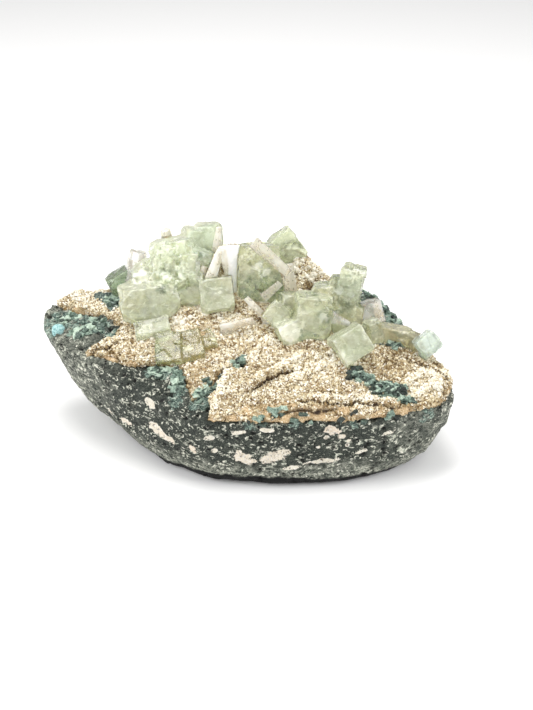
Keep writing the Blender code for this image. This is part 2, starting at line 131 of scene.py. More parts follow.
# Filled bubbles in the basalt's wall: centre (x, y, z), radii along and up the wall, tilt in
# degrees and how pink they are.
BUBBLES = (
    ((-32.3, -30, 28.9), 2.4, 1.9, -10, 0.1), ((-42.7, -20.5, 15), 2.5, 1.2, -14, 0.5),
    ((-49.3, -14, 15.3), 1.7, 0.9, -14, 0.5), ((-31, -30.5, 18.2), 3.2, 2.3, -20, 0.4),
    ((-27.2, -33.2, 16.6), 4.6, 1.6, -20, 0.5), ((-16.8, -38.9, 15), 1.6, 1.6, -20, 0.8),
    ((-10.4, -41.5, 21.9), 2.1, 1, 10, 0.1), ((-9.1, -41.2, 16.2), 1.2, 1, 0, 0.1),
    ((-0.6, -41.9, 24), 2.6, 0.8, 12, 0.1), ((1, -41.9, 13.8), 3.2, 2.2, -28, 0.5),
    ((3.6, -41.9, 12), 2.4, 1.5, 20, 0.6), ((12, -42, 14), 4.6, 2.3, 16, 0.5),
    ((15.5, -42, 15.6), 3, 1.4, 20, 0.4), ((32.8, -41.2, 24.6), 2.6, 1.7, -4, 0.9),
    ((36.4, -41.2, 22), 1.3, 1.1, 0, 0.6), ((31, -41.3, 21.4), 1.1, 0.9, 30, 0.3),
    ((38.9, -41, 20), 0.9, 0.8, 0, 0.2), ((38.7, -40.9, 18), 1, 0.8, 0, 0.1),
    ((28, -41.7, 18), 0.9, 0.8, 0, 0.2), ((30, -41.6, 11.8), 6.4, 0.9, 4, 0.2),
    ((9.8, -42.4, 25.6), 2.6, 0.8, -8, 0.2), ((19, -42, 9.5), 3.4, 0.8, 12, 0.1),
    ((53, -38.2, 22), 2.4, 0.8, 10, 0), ((44, -40.2, 15), 2.2, 0.7, 18, 0.1),
)
PINK_CREAM, CREAM = (0.74, 0.63, 0.50, 1), (0.76, 0.72, 0.60, 1)

# Ledges where the crust has broken off in front: the line's points (x, y), height of the step.
LEDGES = (
    (((4.5, -29.5), (9, -26.8), (13.5, -23.6), (18, -21.8)), 1.5),
    (((12.5, -40.8), (20, -39), (28, -39.4), (34, -37.6)), 1),
    (((22, -36.6), (32, -36), (42, -35), (54, -35.6)), 1.1),
    (((30, -31), (38, -31.4), (44, -33)), 0.6), (((-55, -8.6), (-49.5, -7.4), (-45.5, -6)), 1.2),
    (((62, -12.5), (70, -16), (77, -22)), 0.9),
)
# Folds that stand up from the crust: the line's points (x, y), height and half width.
FOLDS = (
    (((-8.2, -37.5), (-6.9, -32), (-5.2, -24.5), (-2.6, -19.4), (3.7, -18), (7.6, -12.6),
     (11.3, -6.5)), 1.3, 1.8),
    (((6.2, -26), (11.3, -23), (17.1, -19), (22.3, -13.6)), 1.1, 1.7),
    (((22.3, -13.6), (27, -14.6), (30.5, -17.5), (27, -21.5), (20, -24.5), (14, -27.5)), 0.9, 1.6),
    (((28, -33.6), (36, -34.2), (45, -33.6), (52, -34.6)), 0.8, 1.3),
    (((60, -24), (66, -20), (72, -22)), 1.3, 2.4), (((64, -29), (71, -26), (74, -19)), 1.1, 1.8),
    (((-24, -5), (-16, -3), (-8, -6)), 0.8, 2), (((16, -3), (15, 4), (12, 8)), 0.8, 1.8),
)
# Bare tan crust: both ends (x, y) and half width.
TAN_PATCHES = (
    ((6, -37.5), (26, -41), 3), ((26, -40), (40, -38.5), 1.8), ((2, -40), (-2, -44), 3),
    ((50, -38), (62, -36), 2), ((-40, -15.5), (-50, -10.5), 1.6), ((-14, -20), (-19, -26), 2.2),
    ((52, -36), (60, -34.5), 1.2), ((-24, -11), (-14, -10), 6),
)
# Where the grains are fine and even: both ends (x, y) and half width.
SANDY_PLACES = (
    ((-2, -36), (20, -34), 4), ((20, -30), (36, -28), 3.2), ((4, -30), (14, -29), 2.4),
    ((-14, -22), (-18, -30), 4), ((34, -22), (38, -30), 2.6),
)
# Hollows in the crust, painted dark brown inside as shade: centre (x, y), radius and depth.
HOLLOWS = (
    ((23.2, 18.1), 3.6, 1.2), ((26.5, 21.5), 2, 0.9), ((20.5, 25.5), 1.8, 0.8),
    ((-48.6, -10), 1.7, 1.6), ((-18.5, 3), 3, 0.7), ((8, 4), 2.6, 0.6), ((32.5, -13.5), 2, 0.8),
    ((-52, 10), 1.6, 0.5),
)
# Where the crust's grains are darker or lighter: centre (x, y), radius and change of tone.
# The small dark ones at the crystals' feet are painted shade; the broad ones are the crust's own tone.
TONE_PLACES = (
    ((60, -14), 12, -0.2), ((50, -16), 7, -0.1), ((-12, -4), 10, -0.06), ((-0.4, 9.7), 3.5, -0.16),
    ((-9.8, 4.5), 3, -0.14), ((3.6, -11.3), 4, -0.1), ((28.7, -9.7), 3.4, -0.16),
    ((15.7, -9.7), 3.4, -0.14), ((23.9, -8.5), 3, -0.12), ((38.2, -20.1), 4, -0.12),
    ((-20, 3.6), 3.6, -0.14), ((26.6, 22.5), 3, -0.25), ((-60, 24), 8, 0.1), ((24, 24), 8, 0.08),
    ((66, -26), 5, 0.1),
)
# Rounded lumps of white druse: centre (x, y), reach and how many.
WHITE_DRUSE = (
    ((28, 25), 4.5, 34), ((21, 30), 4, 18), ((-24, 1.5), 3.5, 16), ((-18, 2), 2.4, 10),
    ((-8, 3), 3, 14), ((-15, 7), 2.4, 8), ((31, 21), 3.4, 16), ((68, -21), 5.5, 22),
    ((72, -27), 3, 10), ((-66, 26), 4, 14), ((-27.5, -4), 2.6, 12), ((-36, -5.5), 2.6, 8),
    ((34, -13.6), 1.6, 9),
)

# Each crystal look: the material's name, its colour where clear and where cloudy, and the colour and
# density that it absorbs with. Crystals that aren't named are pale.
CRYSTAL_LOOKS = {
    "pale": ("apophyllite_look", (0.86, 0.875, 0.695, 1), (0.91, 0.915, 0.815, 1),
             (0.62, 0.78, 0.28, 1), 25),
    "dark_block": ("dark_apophyllite_look", (0.47, 0.55, 0.43, 1), (0.55, 0.62, 0.51, 1),
                   (0.35, 0.62, 0.38, 1), 60),
    "small_cube": ("clear_apophyllite_look", (0.80, 0.85, 0.78, 1), (0.46, 0.53, 0.44, 1),
                   (0.62, 0.78, 0.64, 1), 70),
    "flat_box": ("olive_apophyllite_look", (0.66, 0.67, 0.45, 1), (0.70, 0.69, 0.50, 1),
                 (0.62, 0.70, 0.22, 1), 80),
}
# Places inside the crystals that look deeper and browner: centre (x, y, z) and radius.
DEEP_PLACES = (
    ((4, 11, 53), 5.5), ((12, 11.5, 54.5), 6.5), ((12.5, 11.5, 59), 2.6), ((-28.5, 14, 60), 3),
    ((32, -3, 51.5), 3.4), ((28, 2, 54), 3), ((24, -8.5, 41.5), 5), ((-31, -14, 39.5), 3),
    ((-17, -7, 42), 2.4), ((36.5, -0.5, 50.5), 3.4), ((38.6, 0, 51), 3.2), ((-47, 22, 46.5), 4.5),
    ((-29, 5.5, 57), 2.2),
)
# Places in them that are full of white: centre (x, y, z) and radius.
WHITE_PLACES = (
    ((6.8, 14.6, 61.8), 1.5), ((9.2, 13.2, 60.4), 1.7), ((36, -17, 41), 2.4), ((-30, 9, 61), 3),
    ((-38, 14, 57.5), 3), ((-22.5, 8.5, 60), 2.4), ((36, 0, 57.5), 2.6), ((66.5, -16, 43), 2.2),
    ((36.5, -20, 43), 2.2), ((18, -8.5, 46), 4), ((24, -9, 49.5), 2.6), ((31, -6.5, 50.5), 2.4),
    ((-44, -1, 56), 2.4), ((-19.4, -13, 42), 1.2), ((-10, -8.5, 43), 1.4),
)
# Where the crystals are broken and craggy: centre (x, y, z) and radius.
CRAGGY_PLACES = (
    ((-28, 13, 62), 11), ((-18, 16, 62), 7), ((38, 3, 55), 6), ((43, 5, 64), 5),
    ((-37, 14, 58), 6), ((8, 14, 66), 6),
)
# Where a crystal's own colour differs: centre (x, y, z), radius and what the colour is times.
TINT_PLACES = (
    ((-26, 16, 62), 10, (0.96, 1, 0.94)), ((-13, 22, 68), 8, (0.76, 0.82, 0.8)),
    ((41, 5.6, 57), 8, (0.62, 0.65, 0.62)), ((18, 34.9, 61), 9, (0.82, 0.84, 0.82)),
    ((-46, 27, 50), 9, (0.76, 0.74, 0.68)), ((-26.4, -11.5, 40.2), 5.5, (0.8, 0.84, 0.68)),
    ((-33, -1.5, 43.5), 8, (0.86, 0.87, 0.92)), ((40.6, -11.9, 43.2), 8, (0.84, 0.86, 0.83)),
    ((60, -1, 40.5), 9, (0.84, 0.8, 0.76)), ((-11, 11, 56), 5, (0.94, 0.96, 0.96)),
)
# Where thin white fracture sheets lie inside the crystals: centre (x, y, z), reach and how many.
FRACTURES = (
    ((-29, 6, 53), (8, 3, 3), 26), ((-17, 11, 56), (6, 3, 3), 20), ((-22, 8, 54), (6, 3, 2.4), 30),
    ((-10, 8, 50), (4, 2, 3), 10), ((-24, 12, 61), (6, 4, 5), 30), ((-9, 10, 52), (4, 3, 3.5), 8),
    ((6.5, 16, 62), (4, 3, 5), 22), ((9, 16, 52), (4, 3, 5), 12), ((26.5, 1, 49), (4, 3, 4), 22),
    ((33, 6, 53), (3, 3, 4), 12), ((41, 5.6, 57), (2.4, 2.4, 5), 16),
    ((40.6, -12, 43), (3.5, 3, 3), 10), ((18, 35, 61), (3, 3, 4), 12),
    ((-14, 24, 67), (5, 4, 4), 18), ((-20, -11.5, 40), (7, 4, 2), 20),
    ((69, -9, 41.5), (2, 2, 2), 6), ((19.5, -3.8, 45), (3.5, 2.5, 2.5), 14),
    ((27, -3, 47), (5, 2.5, 4), 26), ((30, 1, 52), (4, 3, 3), 14),
    ((8, 14, 57), (4.5, 2.5, 4), 18), ((-34, 4, 50), (6, 2.5, 3), 22),
    ((42, -1, 46), (3, 2, 3), 12),
)
# How cloudy each crystal is, where it isn't plain.
CLOUDINESS = {
    "left_cluster": 0.38, "tilted_cube": 0.42, "flat_box": 0.12, "small_cube": 0.35, "slab": 0.25,
    "centre_cluster": 0.26, "back_crystal": 0.25, "dark_block": 0.25,
}
PLAIN_CLOUDINESS = 0.3
# How much darker each colour is along a crystal's edges, where it isn't plain.
RIM_TINT = {"small_cube": (0.1, 0.04, 0.1)}
PLAIN_RIM_TINT = (0.04, 0.02, 0.05)
RIM_MILK = {"small_cube": 0.8}  # how much cloudier a crystal is along its edges
# How white the very edges are, where it isn't 1: frost on the chips, and a painted highlight along the
# sharp corners.
EDGE_FROST_AND_HIGHLIGHT = {"small_cube": 0, "dark_block": 0.4, "flat_box": 0.5}
# Painted light: each crystal's colour is lighter at its foot, as the crust under it lights it.
PAINTED_FOOT_LIGHT = (0.12, 0.10, 0.05)  # how much lighter each colour is at a crystal's foot
# How clear each blade is, where it isn't plain.
CLEARNESS = {
    "blade_over": 0.5, "blade_short": 0.5, "blade_diagonal": 0.3, "mass_left": 0.45,
    "mass_right": 0.6, "wedge_right": 0.6, "wedge": 0, "blade_pale": 0.4, "blade_lying": 0.4,
}
PLAIN_CLEARNESS = 0.15
WHITENESS = {"wedge_right": 0.5, "mass_right": 0.5, "mass_left": 0.5}  # how white, where not 0
WEDGE_WHITE = (-6, -4)  # x over which the tall wedge turns white


# ---------------------------------------------------------------------------------------- noise
# The last number given to each noise only picks another pattern of it.


def hashed(cells, salt):
    """A repeatable number from 0 to 1 for each whole-numbered cell."""
    mixed = cells[..., 0] * 73856093 ^ cells[..., 1] * 19349663 ^ cells[..., 2] * 83492791
    mixed = (mixed + salt * 2654435761) & 0xFFFFFFFF
    mixed = ((mixed ^ mixed >> 15) * 0x2C1B3C6D) & 0xFFFFFFFF
    mixed = ((mixed ^ mixed >> 12) * 0x297A2D39) & 0xFFFFFFFF
    return (mixed ^ mixed >> 15) / 0xFFFFFFFF


def hashed_three(cells, salt):
    """The same, three numbers for each cell."""
    return np.stack([hashed(cells, salt + axis) for axis in range(3)], -1)


def lumps(points, size, salt=0):
    """Smooth noise, about -1 to 1, with lumps of this size."""
    scaled = np.asarray(points) / size
    base = np.floor(scaled).astype(np.int64)
    part = scaled - base
    ease = part**3 * (part * (part * 6 - 15) + 10)
    total = np.zeros(len(scaled))
    for corner in np.ndindex(2, 2, 2):
        slopes = hashed_three(base + corner, salt * 3) * 2 - 1
        share = np.prod(np.where(corner, ease, 1 - ease), -1)
        total += ((part - corner) * slopes).sum(-1) * share
    return total * 1.7


def layered(points, size, layers, salt=0):
    """Noise in layers, each half the size and the strength of the one before."""
    return sum(lumps(points, size / 2**i, salt + i) / 2**i for i in range(layers))


def nearest_spots(points, size, salt):
    """(gap to the nearest scattered spot, the way from it, its cell), in shares of size."""
    scaled = np.asarray(points) / size
    base = np.floor(scaled).astype(np.int64)
    best = np.full(len(scaled), 9.0)
    way, own = np.zeros_like(scaled), base
    for corner in np.ndindex(3, 3, 3):
        cells = base + corner - 1
        away = scaled - (cells + hashed_three(cells, salt))
        gap = np.linalg.norm(away, axis=-1)
        nearer = gap < best
        way = np.where(nearer[:, None], away, way)
        own = np.where(nearer[:, None], cells, own)
        best = np.where(nearer, gap, best)
    return best, way, own


def pebbles(points, size, salt=0):
    """(gap to the nearest scattered spot, as a share of size; that spot's own number)."""
    gap, _, cells = nearest_spots(points, size, salt)
    return gap, hashed(cells, salt + 7)


def broken(points, size, salt=0):
    """Heights of small tilted faces that meet in steps, one to each cell of about this size."""
    _, way, cells = nearest_spots(points, size, salt)
    return (way * (hashed_three(cells, salt + 11) - 0.5)).sum(-1) * size


def ramp(values, low, high):
    """0 at low and beyond, 1 at high and beyond, and smooth between."""
    share = np.clip((values - low) / (high - low), 0, 1)
    return share * share * (3 - 2 * share)


def gap_to(places, centre):
    """How far each place is from a centre."""
    return np.linalg.norm(places - np.array(centre), axis=1)


def way_from(places, start, end):
    """The way to each place (x, y) from the nearest point of the line between two points."""
    start, along = np.array(start), np.subtract(end, start)
    share = np.clip(((places - start) @ along) / (along @ along), 0, 1)
    return places - start - share[:, None] * along


def line_gap(places, start, end):
    return np.linalg.norm(way_from(places, start, end), axis=1)


def ragged_depth(points, depths, wander, size, salt):
    """How far inside any of some shapes each point is, from -1 outside to 1, with ragged edges."""
    return np.clip(np.max(depths, axis=0) + layered(points, size, 3, salt) * wander, -1, 1)


def patches(points, shapes, *edges):
    """The ragged depth in patches of the crust."""
    depths = [width - line_gap(points[:, :2], start, end) for start, end, width in shapes]
    return ragged_depth(points, depths, *edges)


def balls(points, shapes, *edges):
    """The same in balls, each a centre and a radius."""
    return ragged_depth(points, [radius - gap_to(points, at) for at, radius in shapes], *edges)


def wandering(points, size, reach, salt):
    """The points' places on the crust, pushed about so that straight lines wander."""
    return points[:, :2] + np.stack([lumps(points, size, salt + axis) for axis in (0, 1)], -1) * reach


# --------------------------------------------------------------------------------------- meshes


def read(items, field, width, kind=np.float32):
    found = np.empty(len(items) * width, kind)
    items.foreach_get(field, found)
    return found.reshape(-1, width)


def points_of(mesh):
    return read(mesh.vertices, "co", 3).astype(float) / MM


def normals_of(mesh):
    return read(mesh.vertex_normals, "vector", 3).astype(float)


def edges_of(mesh):
    return read(mesh.edges, "vertices", 2, np.int32)


def triangles_of(mesh):
    mesh.calc_loop_triangles()
    return read(mesh.loop_triangles, "vertices", 3, np.int32)


def set_points(mesh, points):
    mesh.vertices.foreach_set("co", (points * MM).astype(np.float32).ravel())
    mesh.update()


def set_values(mesh, **fields):
    """Soft fields that the materials read: one number for each point."""
    for name, values in fields.items():
        layer = mesh.attributes.new(name, "FLOAT", "POINT")
        layer.data.foreach_set("value", values.astype(np.float32))


def set_colours(mesh, name, values):
    layer = mesh.color_attributes.new(name, "FLOAT_COLOR", "POINT")
    whole = np.ones((len(values), 4), np.float32)
    whole[:, :3] = values
    layer.data.foreach_set("color", whole.ravel())


def set_smooth(mesh, smooth):
    mesh.polygons.foreach_set("use_smooth", np.full(len(mesh.polygons), smooth))


def link(name, mesh):
    piece = bpy.data.objects.new(name, mesh)
    bpy.context.scene.collection.objects.link(piece)
    return piece


def made(name, points, faces, smooth=False):
    """A piece from points and faces that all have the same number of corners."""
    mesh = bpy.data.meshes.new(name)
    count, corners = faces.shape
    mesh.vertices.add(len(points))
    mesh.loops.add(count * corners)
    mesh.polygons.add(count)
    mesh.polygons.foreach_set("loop_start", np.arange(count, dtype=np.int32) * corners)
    mesh.loops.foreach_set("vertex_index", faces.astype(np.int32).ravel())
    set_points(mesh, points)
    set_smooth(mesh, smooth)
    mesh.update(calc_edges=True)
    return link(name, mesh)


def remade(name, node, cell):
    """A copy of a CAD node on an even grid of small faces."""
    piece = link(name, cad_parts[node].data.copy())
    weld = piece.modifiers.new("weld", "WELD")
    weld.merge_threshold = WELD_GAP
    step = piece.modifiers.new("remesh", "REMESH")
    step.mode = "VOXEL"
    step.voxel_size = cell * MM
    evaluated = piece.evaluated_get(bpy.context.evaluated_depsgraph_get())
    mesh = bpy.data.meshes.new_from_object(evaluated)
    mesh.materials.clear()
    piece.modifiers.clear()
    piece.data = mesh
    set_smooth(mesh, True)
    return piece


def relaxed(points, edges, times, share=0.5):
    """The points drawn towards their neighbours, this many times."""
    ends = np.concatenate([edges, edges[:, ::-1]])
    degree = np.bincount(ends[:, 0], minlength=len(points))[:, None]
    for _ in range(times):
        sums = [np.bincount(ends[:, 0], points[ends[:, 1], axis], len(points)) for axis in range(3)]
        points = points + share * (np.stack(sums, -1) / degree - points)
    return points


def sharpness(points, normals, edges, cell):
    """How close each point is to a sharp edge that stands out, from 0 to 1."""
    drawn_in = points - relaxed(points, edges, 3)
    out = (drawn_in * normals).sum(axis=1) / cell
    return ramp(out, 0.08, 0.4)


def spun(rng, count):
    """Random turns, as count matrices."""
    w, x, y, z = (turn := rng.normal(size=(4, count))) / np.linalg.norm(turn, axis=0)
    rows = (
        (1 - 2 * (y * y + z * z), 2 * (x * y - w * z), 2 * (x * z + w * y)),
        (2 * (x * y + w * z), 1 - 2 * (x * x + z * z), 2 * (y * z - w * x)),
        (2 * (x * z - w * y), 2 * (y * z + w * x), 1 - 2 * (x * x + y * y)),
    )
    return np.moveaxis(np.array(rows), -1, 0)


TETRAHEDRON = (
    np.array([(1, 1, 1), (1, -1, -1), (-1, 1, -1), (-1, -1, 1)], float) * 0.75,
    np.array([(0, 1, 2), (0, 3, 1), (0, 2, 3), (1, 3, 2)]),
)
OCTAHEDRON = (
    np.array([(1, 0, 0), (-1, 0, 0), (0, 1, 0), (0, -1, 0), (0, 0, 1), (0, 0, -1)], float),
    np.array([(0, 2, 4), (2, 1, 4), (1, 3, 4), (3, 0, 4), (2, 0, 5), (1, 2, 5), (3, 1, 5), (0, 3, 5)]),
)
DOME = (  # a rounded lump: an octahedron with each edge split
    np.array([(0, 0, 1), (0.7, 0, 0.7), (0, 0.7, 0.7), (-0.7, 0, 0.7), (0, -0.7, 0.7), (1, 0, 0),
              (0.7, 0.7, 0), (0, 1, 0), (-0.7, 0.7, 0), (-1, 0, 0), (-0.7, -0.7, 0), (0, -1, 0),
              (0.7, -0.7, 0), (0, 0, -1)], float),
    np.array([(0, 1, 2), (0, 2, 3), (0, 3, 4), (0, 4, 1), (1, 5, 6), (1, 6, 2), (2, 6, 7), (2, 7, 8),
              (2, 8, 3), (3, 8, 9), (3, 9, 10), (3, 10, 4), (4, 10, 11), (4, 11, 12), (4, 12, 1),
              (1, 12, 5), (13, 6, 5), (13, 7, 6), (13, 8, 7), (13, 9, 8), (13, 10, 9), (13, 11, 10),
              (13, 12, 11), (13, 5, 12)]),
)
BLOCK = (
    np.array([(x, y, z) for z in (-1, 1) for y in (-1, 1) for x in (-1, 1)], float),
    np.array([(0, 2, 3, 1), (4, 5, 7, 6), (0, 1, 5, 4), (2, 6, 7, 3), (0, 4, 6, 2), (1, 3, 7, 5)]),
)


def scattered(shape, centres, sizes, turns):
    """(points, faces) of one shape repeated at these centres, with three sizes and a turn each."""
    corners, faces = shape
    scaled = corners[None] * sizes[:, None, :]
    points = centres[:, None, :] + np.einsum("nij,nkj->nki", turns, scaled)
    starts = np.arange(len(centres))[:, None, None] * len(corners)
    return points.reshape(-1, 3), (faces[None] + starts).reshape(-1, faces.shape[1])


def sample(rng, points, triangles, weight, spacing_area):
    """Random places on a mesh, one for each spacing_area where the weight is 1: (their triangles,
    places, shares of the triangles' corners)."""
    corners = points[triangles]
    cross = np.cross(corners[:, 1] - corners[:, 0], corners[:, 2] - corners[:, 0])
    area = np.linalg.norm(cross, axis=1) / 2 * weight[triangles].mean(axis=1)
    count = int(area.sum() / spacing_area)
    chosen = rng.choice(len(triangles), count, p=area / area.sum())
    u, v = np.sort(rng.random((2, count)), axis=0)
    shares = np.stack([u, v - u, 1 - v], -1)
    return chosen, np.einsum("nk,nkj->nj", shares, corners[chosen]), shares


# ------------------------------------------------------------------------------------ materials


def give(node, sockets):
    """Set a node's inputs: each value is another node's output or a constant."""
    for key, value in sockets.items():
        if isinstance(value, bpy.types.NodeSocket):
            node.id_data.links.new(value, node.inputs[key])
        else:
            node.inputs[key].default_value = value


def add(tree, kind, sockets, **settings):
    """A new shader node with these settings and inputs."""
    node = tree.nodes.new("ShaderNode" + kind)
    for key, value in settings.items():
        setattr(node, key, value)
    give(node, sockets)
    return node


def new_material(name):
    material = bpy.data.materials.new(name)
    material.use_nodes = True
    tree = material.node_tree
    return material, tree, tree.nodes["Principled BSDF"]


def in_mm(tree, scale=(1, 1, 1), turn=(0, 0, 0)):
    """The piece's own coordinates in millimetres, stretched and turned."""
    place = add(tree, "TexCoord", {}).outputs["Object"]
    scaled = {"Vector": place, "Scale": [part / MM for part in scale], "Rotation": turn}
    return add(tree, "Mapping", scaled).outputs["Vector"]


def attribute(tree, name, output="Fac"):
    return add(tree, "Attribute", {}, attribute_name=name).outputs[output]


def speckle(vector, size, detail=3.0, roughness=0.6, distortion=0.0):
    """Noise from 0 to 1 with lumps of this size."""
    sockets = {"Vector": vector, "Scale": 1 / size, "Detail": detail, "Roughness": roughness,
               "Distortion": distortion}
    return add(vector.id_data, "TexNoise", sockets).outputs["Fac"]


def stretch(value, low, high, to_low=0.0, to_high=1.0):
    sockets = {"Value": value, "From Min": low, "From Max": high, "To Min": to_low, "To Max": to_high}
    return add(value.id_data, "MapRange", sockets).outputs["Result"]


def joined(operation, first, second):
    """The result of a sum on a socket and another socket or a value."""
    return add(first.id_data, "Math", {0: first, 1: second}, operation=operation).outputs[0]


def plus(first, second):
    return joined("ADD", first, second)


def minus(first, second):
    return joined("SUBTRACT", first, second)


def times(first, second):
    return joined("MULTIPLY", first, second)


def larger(first, second):
    return joined("MAXIMUM", first, second)


def blend(share, first, second, how="MIX"):
    """Mix of two colours, each a socket or a value: the share or the first is a socket."""
    sockets = {0: share, 6: first, 7: second}
    linked = first if isinstance(first, bpy.types.NodeSocket) else share
    return add(linked.id_data, "Mix", sockets, data_type="RGBA", blend_type=how).outputs[2]


def colours(value, *stops):
    """A colour ramp: each stop is a position and a colour."""
    node = add(value.id_data, "ValToRGB", {"Fac": value})
    elements = node.color_ramp.elements
    while len(elements) < len(stops):
        elements.new(0.5)
    for element, (position, colour) in zip(elements, stops):
        element.position = position
        element.color = (*colour, 1)
    return node.outputs["Color"]


def bump(shader, height, distance, strength=1.0):
    sockets = {"Height": height, "Distance": distance * MM, "Strength": strength}
    give(shader, {"Normal": add(shader.id_data, "Bump", sockets).outputs["Normal"]})


def edged(name, vector, size=0.7, wander=1.6, soft=0.12):
    """1 where a soft field of the mesh is above 0, its edge made ragged by fine noise."""
    noise = stretch(speckle(vector, size, 4.0, 0.7), 0.2, 0.8, -wander / 2, wander / 2)
    return stretch(plus(attribute(vector.id_data, name), noise), -soft, soft)


def cells_of(vector, size):
    return add(vector.id_data, "TexVoronoi", {"Vector": vector, "Scale": 1 / size}).outputs


def flecks(vector, size, most, least):
    """Irregular flecks, 1 inside: one to a cell of this size, their radii from least to most."""
    cell = cells_of(vector, size)
    own = add(vector.id_data, "SeparateColor", {"Color": cell["Color"]}).outputs["Red"]
    return stretch(minus(stretch(own, 0.35, 1.0, least, most), cell["Distance"]), 0.0, 0.05)


def warped(vector, size, reach):
    """The coordinates pushed about by noise of this size, up to this many millimetres."""
    tree = vector.id_data
    push = add(tree, "TexNoise", {"Vector": vector, "Scale": 1 / size, "Detail": 2.0})
    centred = add(tree, "VectorMath", {0: push.outputs["Color"], 1: (0.5, 0.5, 0.5)},
                  operation="SUBTRACT")
    moved = add(tree, "VectorMath", {0: centred.outputs[0], "Scale": 2 * reach}, operation="SCALE")
    return add(tree, "VectorMath", {0: vector, 1: moved.outputs[0]}).outputs[0]


def flaky_rock(plain, flaky, push, size, flake, *stops):
    """Mottled rock with flakes: push is the noise's warp, and flake how far flakes show and their
    colour."""
    rock = colours(speckle(warped(plain, *push), size, 4.0, 0.75), *stops)
    flakes = stretch(speckle(flaky, 1.1, 4.0, 0.7, 0.5), 0.56, 0.62, 0.0, flake[0])
    return blend(flakes, rock, flake[1])


def basalt_material():
    material, tree, shader = new_material("basalt_look")
    plain = in_mm(tree)
    along = warped(in_mm(tree, (0.42, 0.6, 1.0), (0, 0.12, 0)), 1.2, 0.7)
    short = warped(in_mm(tree, (0.6, 0.8, 1.0), (0, -0.35, 0)), 0.7, 0.35)
    height = add(tree, "SeparateXYZ", {"Vector": plain}).outputs["Z"]
    # Painted light: the wall is lighter towards its bottom, where the floor lights it, and at both
    # ends.
    low = larger(stretch(height, 12.5, 5.5, 0, 1.1), attribute(tree, "ends"))
    grain = speckle(plain, 0.45, 4.0, 0.75)
    dark = colours(grain, (0.32, (0.006, 0.009, 0.008)), (0.5, (0.028, 0.034, 0.028)),
                   (0.66, (0.095, 0.108, 0.086)))
    light = colours(speckle(short, 1.1, 4.0, 0.8), (0.36, (0.008, 0.010, 0.009)),
                    (0.47, (0.11, 0.121, 0.098)), (0.61, (0.42, 0.43, 0.355)))
    ground = blend(plus(low, stretch(speckle(plain, 6.0, 3.0), 0.35, 0.65, -0.3, 0.2)), dark, light)
    # White flecks: long wandering ones, small broken ones and a few round ones.
    long_ones = stretch(speckle(along, 2.7, 3.0, 0.62, 0.5), 0.605, 0.63)
    broken_ones = stretch(speckle(short, 1.15, 2.0, 0.6, 0.6), 0.615, 0.64)
    white = larger(larger(long_ones, broken_ones), flecks(short, 1.7, 0.38, -0.12))
    patchy = stretch(speckle(plain, 5.0, 2.0), 0.44, 0.56)
    white = times(white, patchy)
    fleck_colour = colours(speckle(plain, 0.8), (0.34, (0.22, 0.25, 0.20)), (0.5, (0.55, 0.56, 0.46)),
                           (0.64, (0.84, 0.82, 0.72)))
    ground = blend(white, ground, fleck_colour)
    # Pale rims of small bubbles, broken into crescents.
    off_rim = joined("ABSOLUTE", minus(cells_of(short, 2.1)["Distance"], 0.33), 0.0)
    rim = times(stretch(off_rim, 0.10, 0.05), stretch(speckle(plain, 1.3, 2.0), 0.50, 0.54))
    white = larger(white, times(rim, patchy))
    ground = blend(rim, ground, fleck_colour)
    # Painted shade: small pits painted near black.
    shaded_pits = flecks(short, 1.3, 0.34, -0.12)
    ground = blend(shaded_pits, ground, (0.003, 0.003, 0.003, 1))
    teal_rock = flaky_rock(
        plain, in_mm(tree, (0.4, 0.8, 1.3), (0, -0.5, 0)), (1.5, 0.6), 0.9,
        (0.85, (0.52, 0.60, 0.50, 1)), (0.34, (0.010, 0.016, 0.014)), (0.45, (0.05, 0.08, 0.07)),
        (0.54, (0.20, 0.28, 0.235)), (0.66, (0.52, 0.62, 0.52)))
    worn = stretch(speckle(plain, 2.2, 3.0, 0.7), 0.40, 0.5, 0.1, 1.0)
    ground = blend(times(edged("teal", plain, 1.3, 2.8, 0.2), worn), ground, teal_rock)
    filling = blend(attribute(tree, "pink"), CREAM, PINK_CREAM)
    filling = blend(stretch(speckle(plain, 0.8), 0.5, 0.62), filling, (0.84, 0.80, 0.73, 1))
    filling = blend(stretch(speckle(plain, 1.0, 3.0, 0.7), 0.57, 0.64), filling, (0.16, 0.13, 0.10, 1))
    ground = blend(edged("bubble", plain, 1.2, 0.8, 0.05), ground, filling)
    # Painted shadow along the wall's foot and painted shade in the bubble holes, both near black.
    ground = blend(attribute(tree, "foot"), ground, (0.003, 0.003, 0.003, 1))
    ground = blend(attribute(tree, "hollow"), ground, (0.004, 0.004, 0.004, 1))
    give(shader, {"Base Color": ground, "Roughness": stretch(grain, 0.3, 0.7, 0.8, 0.42),
                  "Specular IOR Level": 0.25})
    bump(shader, minus(plus(grain, times(white, 0.4)), shaded_pits), 0.4)
    return material


